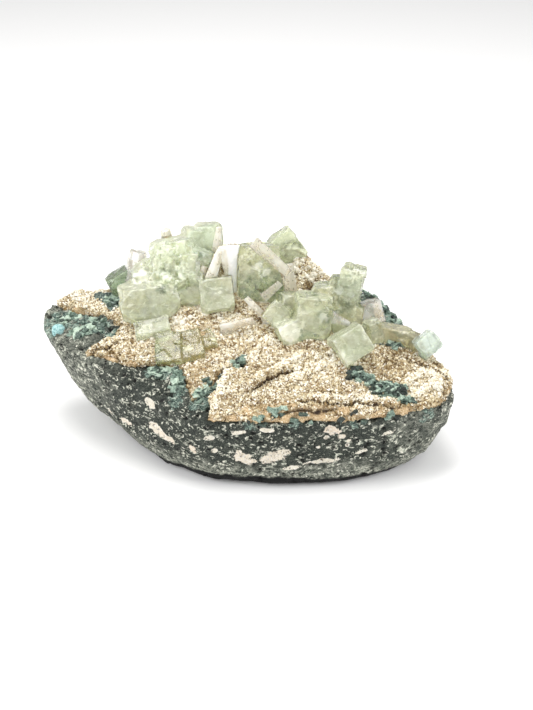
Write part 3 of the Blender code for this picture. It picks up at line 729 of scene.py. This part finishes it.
def crust_material():
    material, tree, shader = new_material("druse_ground_look")
    plain = in_mm(tree)
    grain = speckle(plain, 0.5, 3.0, 0.75)
    ground = colours(grain, (0.32, (0.06, 0.032, 0.012)), (0.5, (0.25, 0.16, 0.075)),
                     (0.66, (0.62, 0.51, 0.34)))
    tan = colours(grain, (0.32, (0.26, 0.15, 0.06)), (0.5, (0.54, 0.38, 0.20)),
                  (0.66, (0.80, 0.68, 0.48)))
    ground = blend(edged("tan", plain, 1.2, 1.6, 0.3), ground, tan)
    teal_rock = flaky_rock(
        plain, in_mm(tree, (0.4, 0.9, 1.3), (0, -0.3, 0.3)), (2.0, 0.8), 1.0,
        (0.8, (0.40, 0.50, 0.44, 1)), (0.34, (0.008, 0.012, 0.011)), (0.46, (0.035, 0.055, 0.048)),
        (0.56, (0.12, 0.165, 0.14)), (0.70, (0.40, 0.48, 0.41)))
    ground = blend(edged("teal", plain, 0.7, 1.2), ground, teal_rock)
    # Painted shade in the hollows and at the ledges' feet.
    ground = blend(attribute(tree, "hollow"), ground, (0.03, 0.015, 0.006, 1))
    # Painted light on the crust under the crystals.
    ground = blend(attribute(tree, "under"), ground, (0.94, 0.93, 0.82, 1))
    give(shader, {"Base Color": ground, "Roughness": 0.7})
    bump(shader, grain, 0.4)
    return material


def grain_material():
    material, tree, shader = new_material("druse_grain_look")
    mottled = plus(attribute(tree, "tone"), stretch(speckle(in_mm(tree), 0.5), 0.3, 0.7, -0.08, 0.08))
    shade = colours(mottled, (0.0, (0.11, 0.062, 0.018)), (0.2, (0.36, 0.25, 0.11)),
                    (0.48, (0.69, 0.60, 0.40)), (0.72, (0.90, 0.86, 0.73)), (1.0, (0.97, 0.95, 0.88)))
    give(shader, {"Base Color": shade, "Roughness": 0.3, "Specular IOR Level": 0.6})
    return material


def crystal_material(name, body, cloudy, absorbed, density):
    """See-through crystal: "milk" on the mesh says where it is cloudy."""
    material, tree, shader = new_material(name)
    plain = in_mm(tree)
    cloud = stretch(speckle(warped(plain, 3.0, 1.5), 2.6, 4.0, 0.65), 0.3, 0.7, -0.16, 0.16)
    streaks = speckle(warped(in_mm(tree, (0.5, 1, 1), (0.3, 0.5, 0)), 2.0, 1.0), 1.5, 4.0, 0.7, 0.5)
    milk = plus(plus(attribute(tree, "milk"), cloud), stretch(streaks, 0.56, 0.66, 0.0, 0.4))
    frost = speckle(plain, 0.7, 3.0, 0.65)
    deep = times(stretch(speckle(plain, 2.0, 3.0, 0.7), 0.35, 0.6), attribute(tree, "deep"))
    shade = blend(stretch(milk, 0.3, 1.1), blend(deep, body, (0.33, 0.40, 0.30, 1)), cloudy)
    # The white edges are partly frost on chips and partly a painted highlight.
    edge = times(attribute(tree, "edge"), stretch(frost, 0.36, 0.5))
    shade = blend(edge, shade, (0.97, 0.98, 0.94, 1))
    milk = plus(milk, times(edge, 0.5))
    give(shader, {
        "Base Color": blend(1.0, shade, attribute(tree, "tint", "Color"), "MULTIPLY"),
        "Transmission Weight": stretch(milk, 0.0, 1.0, 0.95, 0.2),
        "Roughness": stretch(frost, 0.35, 0.65, 0.02, 0.14), "IOR": APOPHYLLITE_IOR,
        "Subsurface Weight": 0.45, "Subsurface Radius": (1.0, 0.95, 0.7), "Subsurface Scale": 3 * MM,
    })
    bump(shader, speckle(in_mm(tree, (1, 1, 2.5)), 1.8, 4.0, 0.6, 0.4), 0.25, 0.5)
    depth = add(tree, "VolumeAbsorption", {"Color": absorbed, "Density": density})
    give(tree.nodes["Material Output"], {"Volume": depth.outputs["Volume"]})
    return material


def stilbite_material():
    """Pinkish where the mesh's "white" is 0, and white and less see-through where it is 1."""
    material, tree, shader = new_material("stilbite_look")
    plain = in_mm(tree)
    cloud = speckle(plain, 3.5, 3.0)
    shade = colours(cloud, (0.34, (0.80, 0.74, 0.62)), (0.5, (0.86, 0.82, 0.71)),
                    (0.66, (0.93, 0.91, 0.84)))
    white = plus(attribute(tree, "white"), stretch(cloud, 0.3, 0.7, -0.2, 0.2))
    white = stretch(white, 0.3, 0.7)
    clear = stretch(plus(cloud, times(white, 0.25)), 0.35, 0.75, 0.25, 0.0)
    give(shader, {
        "Base Color": blend(white, shade, (0.97, 0.97, 0.95, 1)),
        "Transmission Weight": plus(clear, attribute(tree, "clear")),
        "Roughness": stretch(cloud, 0.3, 0.7, 0.22, 0.34), "IOR": STILBITE_IOR,
        "Subsurface Weight": 0.5, "Subsurface Radius": (1.0, 0.9, 0.8), "Subsurface Scale": 2 * MM,
    })
    bump(shader, speckle(plain, 1.2), 0.08)
    return material


def plate_material():
    """Dark teal rock: "tone" on the mesh is how light each plate is."""
    material, tree, shader = new_material("teal_plate_look")
    noise = stretch(speckle(warped(in_mm(tree), 1.0, 0.4), 0.7, 4.0, 0.75), 0.3, 0.7, -0.3, 0.3)
    tone = plus(attribute(tree, "tone"), noise)
    shade = colours(tone, (0.1, (0.010, 0.016, 0.013)), (0.4, (0.065, 0.10, 0.080)),
                    (0.65, (0.21, 0.30, 0.24)), (0.95, (0.54, 0.66, 0.54)))
    give(shader, {"Base Color": shade, "Roughness": 0.5})
    bump(shader, tone, 0.25)
    return material


def mottled_material(name, size, detail, stops, roughness):
    """A material that one noise colours and roughens."""
    material, tree, shader = new_material(name)
    noise = speckle(in_mm(tree), size, detail, 0.7)
    give(shader, {"Base Color": colours(noise, *stops), "Roughness": roughness})
    bump(shader, noise, 0.3)
    return material


def white_druse_material():
    stops = (0.3, (0.44, 0.36, 0.24)), (0.5, (0.80, 0.76, 0.64)), (0.68, (0.95, 0.94, 0.88))
    return mottled_material("white_druse_look", 0.6, 3.0, stops, 0.35)


def nodule_material():
    stops = (0.32, (0.08, 0.22, 0.22)), (0.5, (0.30, 0.53, 0.53)), (0.7, (0.60, 0.78, 0.75))
    return mottled_material("celadonite_look", 1.0, 4.0, stops, 0.6)


def fracture_material():
    material, _, shader = new_material("fracture_look")
    give(shader, {"Base Color": (0.95, 0.97, 0.92, 1), "Roughness": 0.25, "Alpha": 0.5})
    return material


# --------------------------------------------------------------------------------------- pieces


def finish_piece(piece, material, node=None):
    piece.data.materials.append(material)
    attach(piece, "root")
    if node:
        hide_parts(node)


def bvh_of(*meshes):
    """A search tree of all these meshes' triangles."""
    corners, faces = [], []
    for mesh in meshes:
        faces += (triangles_of(mesh) + len(corners)).tolist()
        corners += points_of(mesh).tolist()
    return BVHTree.FromPolygons(corners, faces)


def crystal_cover():
    """A function that says whether a point of the crust is under a crystal or inside it."""
    nodes = CRYSTAL_NODES + BLADE_NODES + ["celadonite_nodule"]
    tree = bvh_of(*(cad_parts[node].data for node in nodes))

    def covered(point):
        _, normal, _, distance = tree.ray_cast(Vector(point) - UP * COVER_BELOW, UP)
        return distance is not None and (distance < COVER_REACH or normal.z > 0)

    return covered


def streaked(points, degrees):
    """The points turned about the Y axis and squeezed, which lays streaks along the slope."""
    cos, sin = math.cos(math.radians(degrees)), math.sin(math.radians(degrees))
    turn = np.array([(cos, 0, sin), (0, 1, 0), (-sin, 0, cos)])
    return points @ (turn.T * (0.45, 1.0, 1.0))


def filled_bubbles(points):
    """(how far inside a filled bubble each point is, from -1 to 1; how pink the filling is)."""
    bubble = np.full(len(points), -1.0)
    pink = np.zeros(len(points))
    wobble = layered(points, 1.8, 2, 61) * 0.4
    for centre, along, up, tilt, pinkness in BUBBLES:
        away = points - np.array(centre)
        side = np.where(away[:, 0] > 0, 1, -1) * np.linalg.norm(away[:, :2], axis=1)
        turn = math.radians(tilt)
        across = side * math.cos(turn) + away[:, 2] * math.sin(turn)
        rise = away[:, 2] * math.cos(turn) - side * math.sin(turn)
        inside = (1 - np.hypot(across / along, rise / up) + wobble) * 1.4
        pink = np.where(inside > bubble, pinkness, pink)
        bubble = np.maximum(bubble, inside)
    return np.clip(bubble, -1, 1), pink


def make_basalt(material):
    piece = remade("basalt_rock", "basalt_matrix", BASALT_CELL)
    mesh = piece.data
    points = relaxed(points_of(mesh), edges_of(mesh), 3)
    set_points(mesh, points)
    normals = normals_of(mesh)
    x = points[:, 0]
    lift = ramp(points[:, 2], 0.3, 3.0)  # keeps the underside flat
    # Painted light: both ends of the wall are painted paler, as they are lit more.
    ends = np.maximum(ramp(-x, 40, 62) * 0.72, ramp(x, 42, 66) * 0.55)  # they are paler
    shelf = ramp(normals[:, 2], 0.35, 0.8)  # the broken tops beside the crust
    bubble, pink = filled_bubbles(points)
    filled = ramp(bubble, -0.1, 0.2)
    # Bubble holes: dented, and painted near black inside as painted shade.
    gap, own = pebbles(points * (0.8, 0.9, 1.0), 2.6, 51)
    hole = ramp(gap, 0.36, 0.16) * (own > 0.62)

    relief = layered(points, 7.0, 3, 21) * 0.55
    relief += np.abs(lumps(points * (0.5, 0.8, 1.0), 2.4, 31)) * 0.35
    ridged = 1 - np.abs(layered(streaked(points, 35), 3.2, 3, 41)) * 2
    relief += shelf * (ridged * 0.9 + layered(points, 2.0, 2, 45) * 0.6)
    relief -= hole * HOLE_DEPTH
    relief += filled * layered(points, 1.1, 2, 71) * 0.4
    moved = points + normals * (relief * lift)[:, None]
    moved[:, 2] = np.maximum(moved[:, 2], 0)
    set_points(mesh, moved)
    # Painted shadow: the wall's foot is painted near black, up to a height that varies along it.
    high = PAINTED_SHADOW_LOW + (PAINTED_SHADOW_HIGH - PAINTED_SHADOW_LOW) * ramp(x, -50, -15) * (1 - 0.6 * ramp(x, 5, 45))
    foot = ramp(moved[:, 2] + layered(points, 3.0, 2, 75) * 0.5, high + 0.2, high - 0.2)
    set_values(mesh, teal=balls(points, BASALT_TEAL, 1.6, 3.5, 11), ends=ends, bubble=bubble,
               pink=pink, hollow=hole * (1 - filled), foot=foot)
    finish_piece(piece, material, "basalt_matrix")
    return piece


def ledge_relief(points):
    """(height, shade): steps where the crust has broken off, and how dark the painted shade at the
    foot of each is.
    """
    places = wandering(points, 4.0, 1.1, 81)
    height, shade = np.zeros((2, len(points)))
    for line, step in LEDGES:
        gap = np.full(len(points), FAR)
        side = np.zeros(len(points))
        for start, end in zip(line, line[1:]):
            away, along = way_from(places, start, end), np.subtract(end, start)
            distance = np.linalg.norm(away, axis=1)
            nearer = distance < gap
            cross = (along[0] * away[:, 1] - along[1] * away[:, 0]) / np.linalg.norm(along)
            side = np.where(nearer, cross, side)
            gap = np.where(nearer, distance, gap)
        behind = side > 0
        height += step * np.where(behind, ramp(gap, 5.0, 0.6) * ramp(gap, -0.3, 0.5), 0)
        height -= step * 0.6 * (ramp(gap, 1.7, 0.5) * ~behind)
        shade = np.maximum(shade, ramp(gap, 1.1, 0.4) * ~behind * min(1.0, step))
    return height, shade


def fold_relief(points):
    """(height, share): the folds that stand up, and how much each point belongs to one."""
    places = wandering(points, 5.0, 1.2, 85)
    height, belongs = np.zeros((2, len(points)))
    for line, rise, width in FOLDS:
        gap = np.full(len(points), FAR)
        for ends in zip(line, line[1:]):
            gap = np.minimum(gap, line_gap(places, *ends))
        near = ramp(gap, width * 1.3, width * 0.25)
        height = np.maximum(height, rise * near)
        belongs = np.maximum(belongs, near)
    return height, belongs


def make_crust(covered, material):
    """(the crust's ground, soft fields of it that the grains need)."""
    piece = remade("druse_ground", "druse_crust", CRUST_CELL)
    mesh = piece.data
    edges = edges_of(mesh)
    points = relaxed(points_of(mesh), edges, 9)
    set_points(mesh, points)
    normals = normals_of(mesh)
    top = ramp(normals[:, 2], -0.2, 0.5)
    side = ramp(np.abs(normals[:, 2]), 0.85, 0.3)
    teal_field = patches(points, CRUST_TEAL, 1.2, 3.5, 91)
    tan_field = patches(points, TAN_PATCHES, 1.8, 4.0, 95)
    tan_field = np.maximum(tan_field, ramp(normals[:, 2], 0.6, 0.2) * 2 - 1)
    teal, tan = ramp(teal_field, -0.2, 0.3), ramp(tan_field, -0.6, 0.6)
    sandy = ramp(patches(points, SANDY_PLACES, 1.5, 5.0, 99), -0.9, 0.9)
    height, shade = ledge_relief(points)
    risen, folded = fold_relief(points)
    hollow = np.zeros(len(points))
    for centre, radius, depth in HOLLOWS:
        gap = gap_to(points[:, :2], centre) + lumps(points, 3.0, 97) * 0.3 * radius
        inside = ramp(gap, radius, radius * 0.5)
        height -= inside * depth
        hollow = np.maximum(hollow, inside)
    gap, own = pebbles(points, KNOB_SIZE, 101)
    knobs = (0.55 - np.minimum(gap, 0.9)) * (0.5 + own)
    rough = (1 - 0.75 * sandy) * (1 - 0.7 * tan) * (1 + 0.5 * folded)
    relief = layered(points, 5.5, 3, 105) * (0.65 - 0.35 * sandy)
    relief += knobs * 0.85 * (1 - teal) * rough
    plates = 1 - np.abs(layered(points * (0.6, 1, 1), 2.6, 3, 111)) * 2
    relief = relief * (1 - teal) + teal * (plates * 0.7 + 0.1)
    relief += height + risen * (1 + 0.5 * lumps(points, 4.0, 88)) - CRUST_LOWERED
    ragged = layered(points * (1, 1, 0.6), 3.4, 4, 115) * 1.5
    moved = points + normals * (relief * top + ragged * side)[:, None]
    set_points(mesh, moved)
    shade = shade * (1 - teal)
    shelf = 0.75 * tan * ramp(points[:, 1], -34, -38) * (1 - folded)
    shelf *= ramp(lumps(points, 3.0, 98), -0.5, 0.3)
    # Painted shade at the ledges' feet and in the hollows.
    dark = np.maximum(shade, hollow * 0.55)
    # Painted light: the crust under the crystals is painted bright cream, for the light that comes
    # through them.
    under = np.array([covered(point) for point in moved]) * (1 - tan)
    set_values(mesh, teal=teal_field, tan=tan_field, hollow=dark, under=under)
    edge_bare = ramp(lumps(points, 5.0, 93), -0.25, 0.3)
    bare = np.clip(teal * 1.2 + hollow * 0.3 + shade + tan * side * edge_bare + shelf, 0, 1)
    finish_piece(piece, material, "druse_crust")
    return piece, {"tan": tan, "hollow": dark, "sandy": sandy, "folded": folded, "bare": bare,
                   "knob": np.clip(0.5 + knobs * 0.9, 0, 1)}


def make_grains(crust, masks, covered, material):
    """The sugary grains that cover the crust."""
    rng = np.random.default_rng(20)
    mesh = crust.data
    points, normals, triangles = points_of(mesh), normals_of(mesh), triangles_of(mesh)
    coarse_share = np.clip(0.35 + 0.45 * lumps(points, 9.0, 121) + 0.5 * masks["folded"], 0, 1)
    coarse_share *= (1 - masks["sandy"]) * (1 - 0.6 * masks["tan"])
    exposed = ramp(normals[:, 2], -0.5, 0.0) * (1 - masks["bare"])
    for kind, weight, spacing, shape, base in (
        ("fine", exposed * (1 - 0.4 * coarse_share), FINE_SPACING, TETRAHEDRON, FINE_GRAIN),
        ("coarse", exposed * coarse_share, COARSE_SPACING, OCTAHEDRON, COARSE_GRAIN),
    ):
        chosen, places, shares = sample(rng, points, triangles, weight, spacing)
        free = np.array([not covered(place) for place in places])
        chosen, places, shares = chosen[free], places[free], shares[free]
        picked = triangles[chosen]
        here = {name: (values[picked] * shares).sum(axis=1) for name, values in masks.items()}
        upward = np.einsum("nk,nkj->nj", shares, normals[picked])
        count = len(places)
        size = np.clip(rng.lognormal(0.0, 0.25, count) * base, *GRAIN_LIMITS)
        sizes = size[:, None] * rng.uniform(0.7, 1.25, (count, 3))
        tone = grain_tone(places, here) + rng.normal(0, 0.25, count)
        centres = places + upward * (size * rng.uniform(-0.15, 0.4, count))[:, None]
        turns = spun(rng, count)
        left = places[:, 0] < GRAINS_SPLIT
        for part, side in (("left", left), ("right", ~left)):
            grains = scattered(shape, centres[side], sizes[side], turns[side])
            piece = made(f"druse_{kind}_{part}", *grains)
            set_values(piece.data, tone=np.repeat(np.clip(tone[side], 0, 1), len(shape[0])))
            finish_piece(piece, material)


def grain_tone(places, here):
    """How light the grains are, from 0 to 1."""
    # Painted light and shade: lighter grains on the knobs' tops and darker between, and darker in the
    # hollows and at the ledges' feet.
    tone = 0.365 + 0.28 * here["knob"] + 0.16 * lumps(places, 7.0, 131)
    tone += 0.16 * here["folded"] - 0.16 * here["tan"] - 0.45 * here["hollow"]
    for centre, radius, change in TONE_PLACES:
        tone += change * ramp(gap_to(places[:, :2], centre), radius * 1.2, radius * 0.6)
    return tone


def make_teal_plates(ground, material):
    """Thin broken plates of rock, in heaps on the crust."""
    rng = np.random.default_rng(31)
    centres, sizes, turns, tones = [], [], [], []
    for middle, long, wide, turn, count, light in TEAL_PLATES:
        angle = math.radians(turn)
        along, across = rng.uniform(-1, 1, (2, count)) * np.array([[long], [wide]])
        x = middle[0] + along * math.cos(angle) - across * math.sin(angle)
        y = middle[1] + along * math.sin(angle) + across * math.cos(angle)
        for at in range(count):
            z = ground(x[at], y[at])
            if z is None:
                continue
            centres.append((x[at], y[at], z + rng.uniform(-0.2, 0.5)))
            sizes.append((rng.uniform(0.7, 2.0), rng.uniform(0.4, 1.1), rng.uniform(0.25, 0.8)))
            lean = rng.normal(0, 0.35, 2)
            turns.append(Euler((*lean, angle + rng.normal(0, 0.8))).to_matrix())
            tones.append(light + rng.uniform(-0.45, 0.4))
    points, faces = scattered(BLOCK, np.array(centres), np.array(sizes), np.array(turns))
    points += rng.normal(0, 0.16, points.shape)
    piece = made("teal_plates", points, faces)
    set_values(piece.data, tone=np.repeat(tones, len(BLOCK[0])))
    finish_piece(piece, material)


def make_white_druse(ground, covered, material):
    """Rounded white lumps that stand up between the grains."""
    rng = np.random.default_rng(41)
    centres = []
    for middle, reach, count in WHITE_DRUSE:
        for x, y in rng.normal(0, reach * 0.5, (count, 2)) + middle:
            z = ground(x, y)
            if z is not None:
                centres.append((x, y, z))
    sizes = rng.uniform(0.4, 1.2, (len(centres), 1)) * rng.uniform(0.7, 1.3, (len(centres), 3))
    centres = np.array(centres) + (0, 0, 0.1)
    free = np.array([not covered(place) for place in centres])
    points, faces = scattered(DOME, centres[free], sizes[free], spun(rng, free.sum()))
    points += layered(points, 1.0, 2, 211)[:, None] * 0.25
    finish_piece(made("white_druse", points, faces, smooth=True), material)


def sheet_shape():
    """A wavy square sheet from -1 to 1 across."""
    steps = np.linspace(-1, 1, SHEET_SIDE + 1)
    x, y = (axis.ravel() for axis in np.meshgrid(steps, steps))
    # The corners are drawn in, which leaves an irregular outline.
    drawn_in = 1 - 0.25 * (x * x * y * y) - 0.12 * np.sin(5 * x + 3 * y)
    points = np.stack([x * drawn_in, y * drawn_in, 0.12 * np.sin(3 * x + 2 * y)], -1)
    at = np.arange(SHEET_SIDE * (SHEET_SIDE + 1)).reshape(SHEET_SIDE, SHEET_SIDE + 1)[:, :-1].ravel()
    faces = np.stack([at, at + 1, at + SHEET_SIDE + 2, at + SHEET_SIDE + 1], -1)
    return points, faces


def make_fractures(material):
    """Thin sheets inside the crystals, most of them near level like their cleavage."""
    rng = np.random.default_rng(51)
    trees = [bvh_of(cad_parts[node].data) for node in CRYSTAL_NODES]

    def inside(place):
        for tree in trees:
            _, normal, _, distance = tree.ray_cast(Vector(place), UP)
            within = distance is not None and normal.z > 0
            if within and tree.find_nearest(Vector(place))[3] > FRACTURE_COVER:
                return True
        return False

    centres, sizes, turns = [], [], []
    for middle, reach, count in FRACTURES:
        for _ in range(count):
            centre = rng.normal(0, 0.6, 3) * reach + middle
            size = rng.uniform(0.5, 2.4) * np.array((1.0, rng.uniform(0.35, 0.8), 0.6))
            level = rng.random() < LEVEL_SHARE
            lean = rng.normal(0, 0.25 if level else 1.0, 2)
            turn = np.array(Euler((lean[0] - 0.15, lean[1], rng.uniform(0, math.pi))).to_matrix())
            tips = [centre + turn @ (size * (x, y, 0)) for x in (-1, 1) for y in (-1, 1)]
            if all(inside(tip) for tip in tips):
                centres.append(centre)
                sizes.append(size)
                turns.append(turn)
    points, faces = scattered(sheet_shape(), np.array(centres), np.array(sizes), np.array(turns))
    finish_piece(made("crystal_fractures", points, faces, smooth=True), material)


def ground_finder(pieces):
    """A function that gives the highest point of these pieces at (x, y), or None."""
    trees = [bvh_of(piece.data) for piece in pieces]

    def height(x, y):
        hits = [tree.ray_cast(Vector((x, y, SKY)), -UP)[0] for tree in trees]
        return max((hit.z for hit in hits if hit is not None), default=None)

    return height


def sink(points, normals, ground, deep):
    """Draw the foot of a crystal down into the crust that it stands on."""
    for at in np.flatnonzero(normals[:, 2] < -0.25):
        x, y, z = points[at]
        under = ground(x, y)
        if under is not None and z > under - deep:
            share = ramp(z - under, 2.4, 1.0) * ramp(-normals[at, 2], 0.25, 0.5)
            points[at, 2] = z + (under - deep - z) * share
    return points


def smoothed(name, node, cell):
    """(piece, mesh, points, normals) of a copy of a node with its edges rounded a little."""
    piece = remade(name, node, cell)
    mesh = piece.data
    points = relaxed(points_of(mesh), edges_of(mesh), 2)
    set_points(mesh, points)
    return piece, mesh, points, normals_of(mesh)


def make_crystal(name, material, ground):
    piece, mesh, points, normals = smoothed("crystal_" + name, "apophyllite_" + name, CRYSTAL_CELL)
    edges = edges_of(mesh)
    steps = lumps(points, 5.0, 141) + 0.5 * lumps(points, 2.2, 142)
    terraces = (np.floor(steps * 3) + ramp(steps * 3 % 1, 0.4, 0.6)) / 3
    relief = terraces * 0.14 + lumps(points, 9.0, 145) * 0.1
    craggy = ramp(balls(points, CRAGGY_PLACES, 2.0, 5.0, 191), -0.6, 1.0)
    cracks = 1 - np.abs(layered(points * (1, 1, 0.8), 3.4, 3, 195)) * 2.4
    relief += craggy * (cracks * 0.25 - 0.2 + broken(points, 3.8, 148) * 0.75)
    relief += (1 - craggy) * broken(points, 5.0, 149) * 0.16
    corners = sharpness(points, normals, edges, CRYSTAL_CELL)
    chips = rim_of(points, edges) * ramp(layered(points, 2.6, 3, 147), 0.05, 0.35)
    relief -= chips * CHIP_DEPTH
    points = points + normals * relief[:, None]
    set_points(mesh, sink(points, normals, ground, CRYSTAL_SUNK))
    rim = rim_of(points, edges)
    deep = ramp(balls(points, DEEP_PLACES, 1.5, 4.0, 181), -1.0, 1.0)
    white = ramp(balls(points, WHITE_PLACES, 1.5, 3.0, 185), -0.8, 0.8)
    # The cloudiness added along sharp corners whitens them as a painted highlight; that in cracks and
    # chips is the crystal's own.
    milk = milkiness(name, points) + 0.5 * corners + 0.5 * white
    milk += craggy * ramp(cracks, 0.5, 1.0) * 0.35 + 0.35 * chips + RIM_MILK.get(name, 0) * rim
    # White along the very edges: frost on the chips, and a painted highlight along the sharp corners.
    edge = np.maximum(ramp(corners, 0.25, 0.7), 0.6 * chips) * EDGE_FROST_AND_HIGHLIGHT.get(name, 1.0)
    set_values(mesh, milk=milk, edge=edge, deep=deep)
    tint = np.ones((len(points), 3))
    for centre, radius, colour in TINT_PLACES:
        share = ramp(balls(points, ((centre, radius),), 2.0, 6.0, 201), -1.0, 1.0)
        tint *= 1 + share[:, None] * (np.array(colour) - 1)
    tint *= 1 - rim[:, None] * np.array(RIM_TINT.get(name, PLAIN_RIM_TINT))
    # Painted light: lighter towards the foot, as the crust under it lights it.
    tint *= 1 + foot_share(points, ground)[:, None] * np.array(PAINTED_FOOT_LIGHT)
    set_colours(mesh, "tint", tint)
    finish_piece(piece, material, "apophyllite_" + name)


def rim_of(points, edges):
    """How close each point is to the edges of its crystal, from 0 to 1, over about a millimetre."""
    drawn_in = np.linalg.norm(points - relaxed(points, edges, 14), axis=1)
    return ramp(drawn_in, 0.08, 0.4)


def foot_share(points, ground):
    """How close each point is to the crust under it, from 0 to 1: the crust lights its foot."""
    heights = [ground(x, y) for x, y in points[:, :2]]
    above = points[:, 2] - np.array([FAR if height is None else height for height in heights])
    return ramp(above, 5.0, 0.5)


def milkiness(name, points):
    """How cloudy the crystal is at each point, from 0 to 1."""
    milk = np.full(len(points), CLOUDINESS.get(name, PLAIN_CLOUDINESS))
    if name == "left_cluster":
        milk += 0.15 * ramp(points[:, 2], 55, 63) * ramp(-points[:, 0], 8, 18)
    return np.clip(milk + 0.12 * lumps(points, 7.0, 171), 0, 1)


def make_blade(name, material, ground):
    piece, mesh, points, normals = smoothed("blade_" + name, "stilbite_" + name, BLADE_CELL)
    axes = np.linalg.svd(points - points.mean(axis=0), full_matrices=False)[2]
    within = (points - points.mean(axis=0)) @ axes.T * (0.06, 1.0, 1.0)
    stripes = lumps(within, 1.3, 151) + 0.8 * lumps(within, 2.6, 152)
    points = points + normals * (stripes * GROOVE_DEPTH)[:, None]
    set_points(mesh, sink(points, normals, ground, BLADE_SUNK))
    white = np.full(len(points), WHITENESS.get(name, 0.0))
    if name == "wedge":
        white = ramp(points[:, 0] + 0.5 * lumps(points, 4.0, 155), *WEDGE_WHITE)
    clear = np.full(len(points), CLEARNESS.get(name, PLAIN_CLEARNESS))
    set_values(mesh, white=white, clear=clear)
    finish_piece(piece, material, "stilbite_" + name)


def make_nodule(material):
    piece, mesh, points, normals = smoothed("nodule_ball", "celadonite_nodule", NODULE_CELL)
    points = points + normals * (layered(points, 1.6, 2, 161) * 0.25)[:, None]
    points[:, 2] -= np.where(normals[:, 2] < -0.2, NODULE_SUNK, 0.0)
    set_points(mesh, points)
    finish_piece(piece, material, "celadonite_nodule")


# ------------------------------------------------------------------------------ stage and light


def make_stage():
    floor = link("floor", bpy.data.meshes.new("floor"))
    half = FLOOR_SIDE / 2
    corners = [(-half, -half, 0), (half, -half, 0), (half, half, 0), (-half, half, 0)]
    floor.data.from_pydata(corners, [], [(0, 1, 2, 3)])
    material, _, shader = new_material("floor_look")
    give(shader, {"Base Color": (0.92, 0.92, 0.92, 1), "Roughness": 0.9, "Specular IOR Level": 0.1})
    floor.data.materials.append(material)


def make_light(name, place, size, power, colour):
    light = bpy.data.lights.new(name, "AREA")
    light.shape = "DISK"
    light.size = size * MM
    light.energy = power
    light.color = colour
    lamp = link(name, light)
    lamp.location = Vector(place) * MM
    lamp.rotation_euler = (Vector(LIGHTS_AIM) - Vector(place)).to_track_quat("-Z", "Y").to_euler()


def make_world():
    world = bpy.data.worlds.new("studio")
    world.use_nodes = True
    give(world.node_tree.nodes["Background"], {"Color": (1, 1, 1, 1), "Strength": WORLD_LIGHT})
    bpy.context.scene.world = world


def make_camera():
    data = bpy.data.cameras.new("camera")
    data.lens = CAMERA_LENS
    data.sensor_width = CAMERA_SENSOR
    camera = link("camera", data)
    tilt = math.radians(CAMERA_ELEVATION)
    back = Vector((0, -math.cos(tilt), math.sin(tilt))) * CAMERA_DISTANCE
    camera.location = (Vector(CAMERA_TARGET) + back) * MM
    camera.rotation_euler = (-back).to_track_quat("-Z", "Y").to_euler()
    bpy.context.scene.camera = camera


def main():
    make_camera()
    make_stage()
    make_world()
    for light in LIGHTS:
        make_light(*light)
    bpy.context.scene.view_settings.view_transform = "Standard"
    basalt = make_basalt(basalt_material())
    covered = crystal_cover()
    crust, masks = make_crust(covered, crust_material())
    make_grains(crust, masks, covered, grain_material())
    ground = ground_finder((crust, basalt))
    make_teal_plates(ground, plate_material())
    make_white_druse(ground, covered, white_druse_material())
    make_fractures(fracture_material())
    looks = {key: crystal_material(*look) for key, look in CRYSTAL_LOOKS.items()}
    for name in CRYSTALS:
        make_crystal(name, looks.get(name, looks["pale"]), ground)
    stilbite = stilbite_material()
    for name in BLADES:
        make_blade(name, stilbite, ground)
    make_nodule(nodule_material())


main()
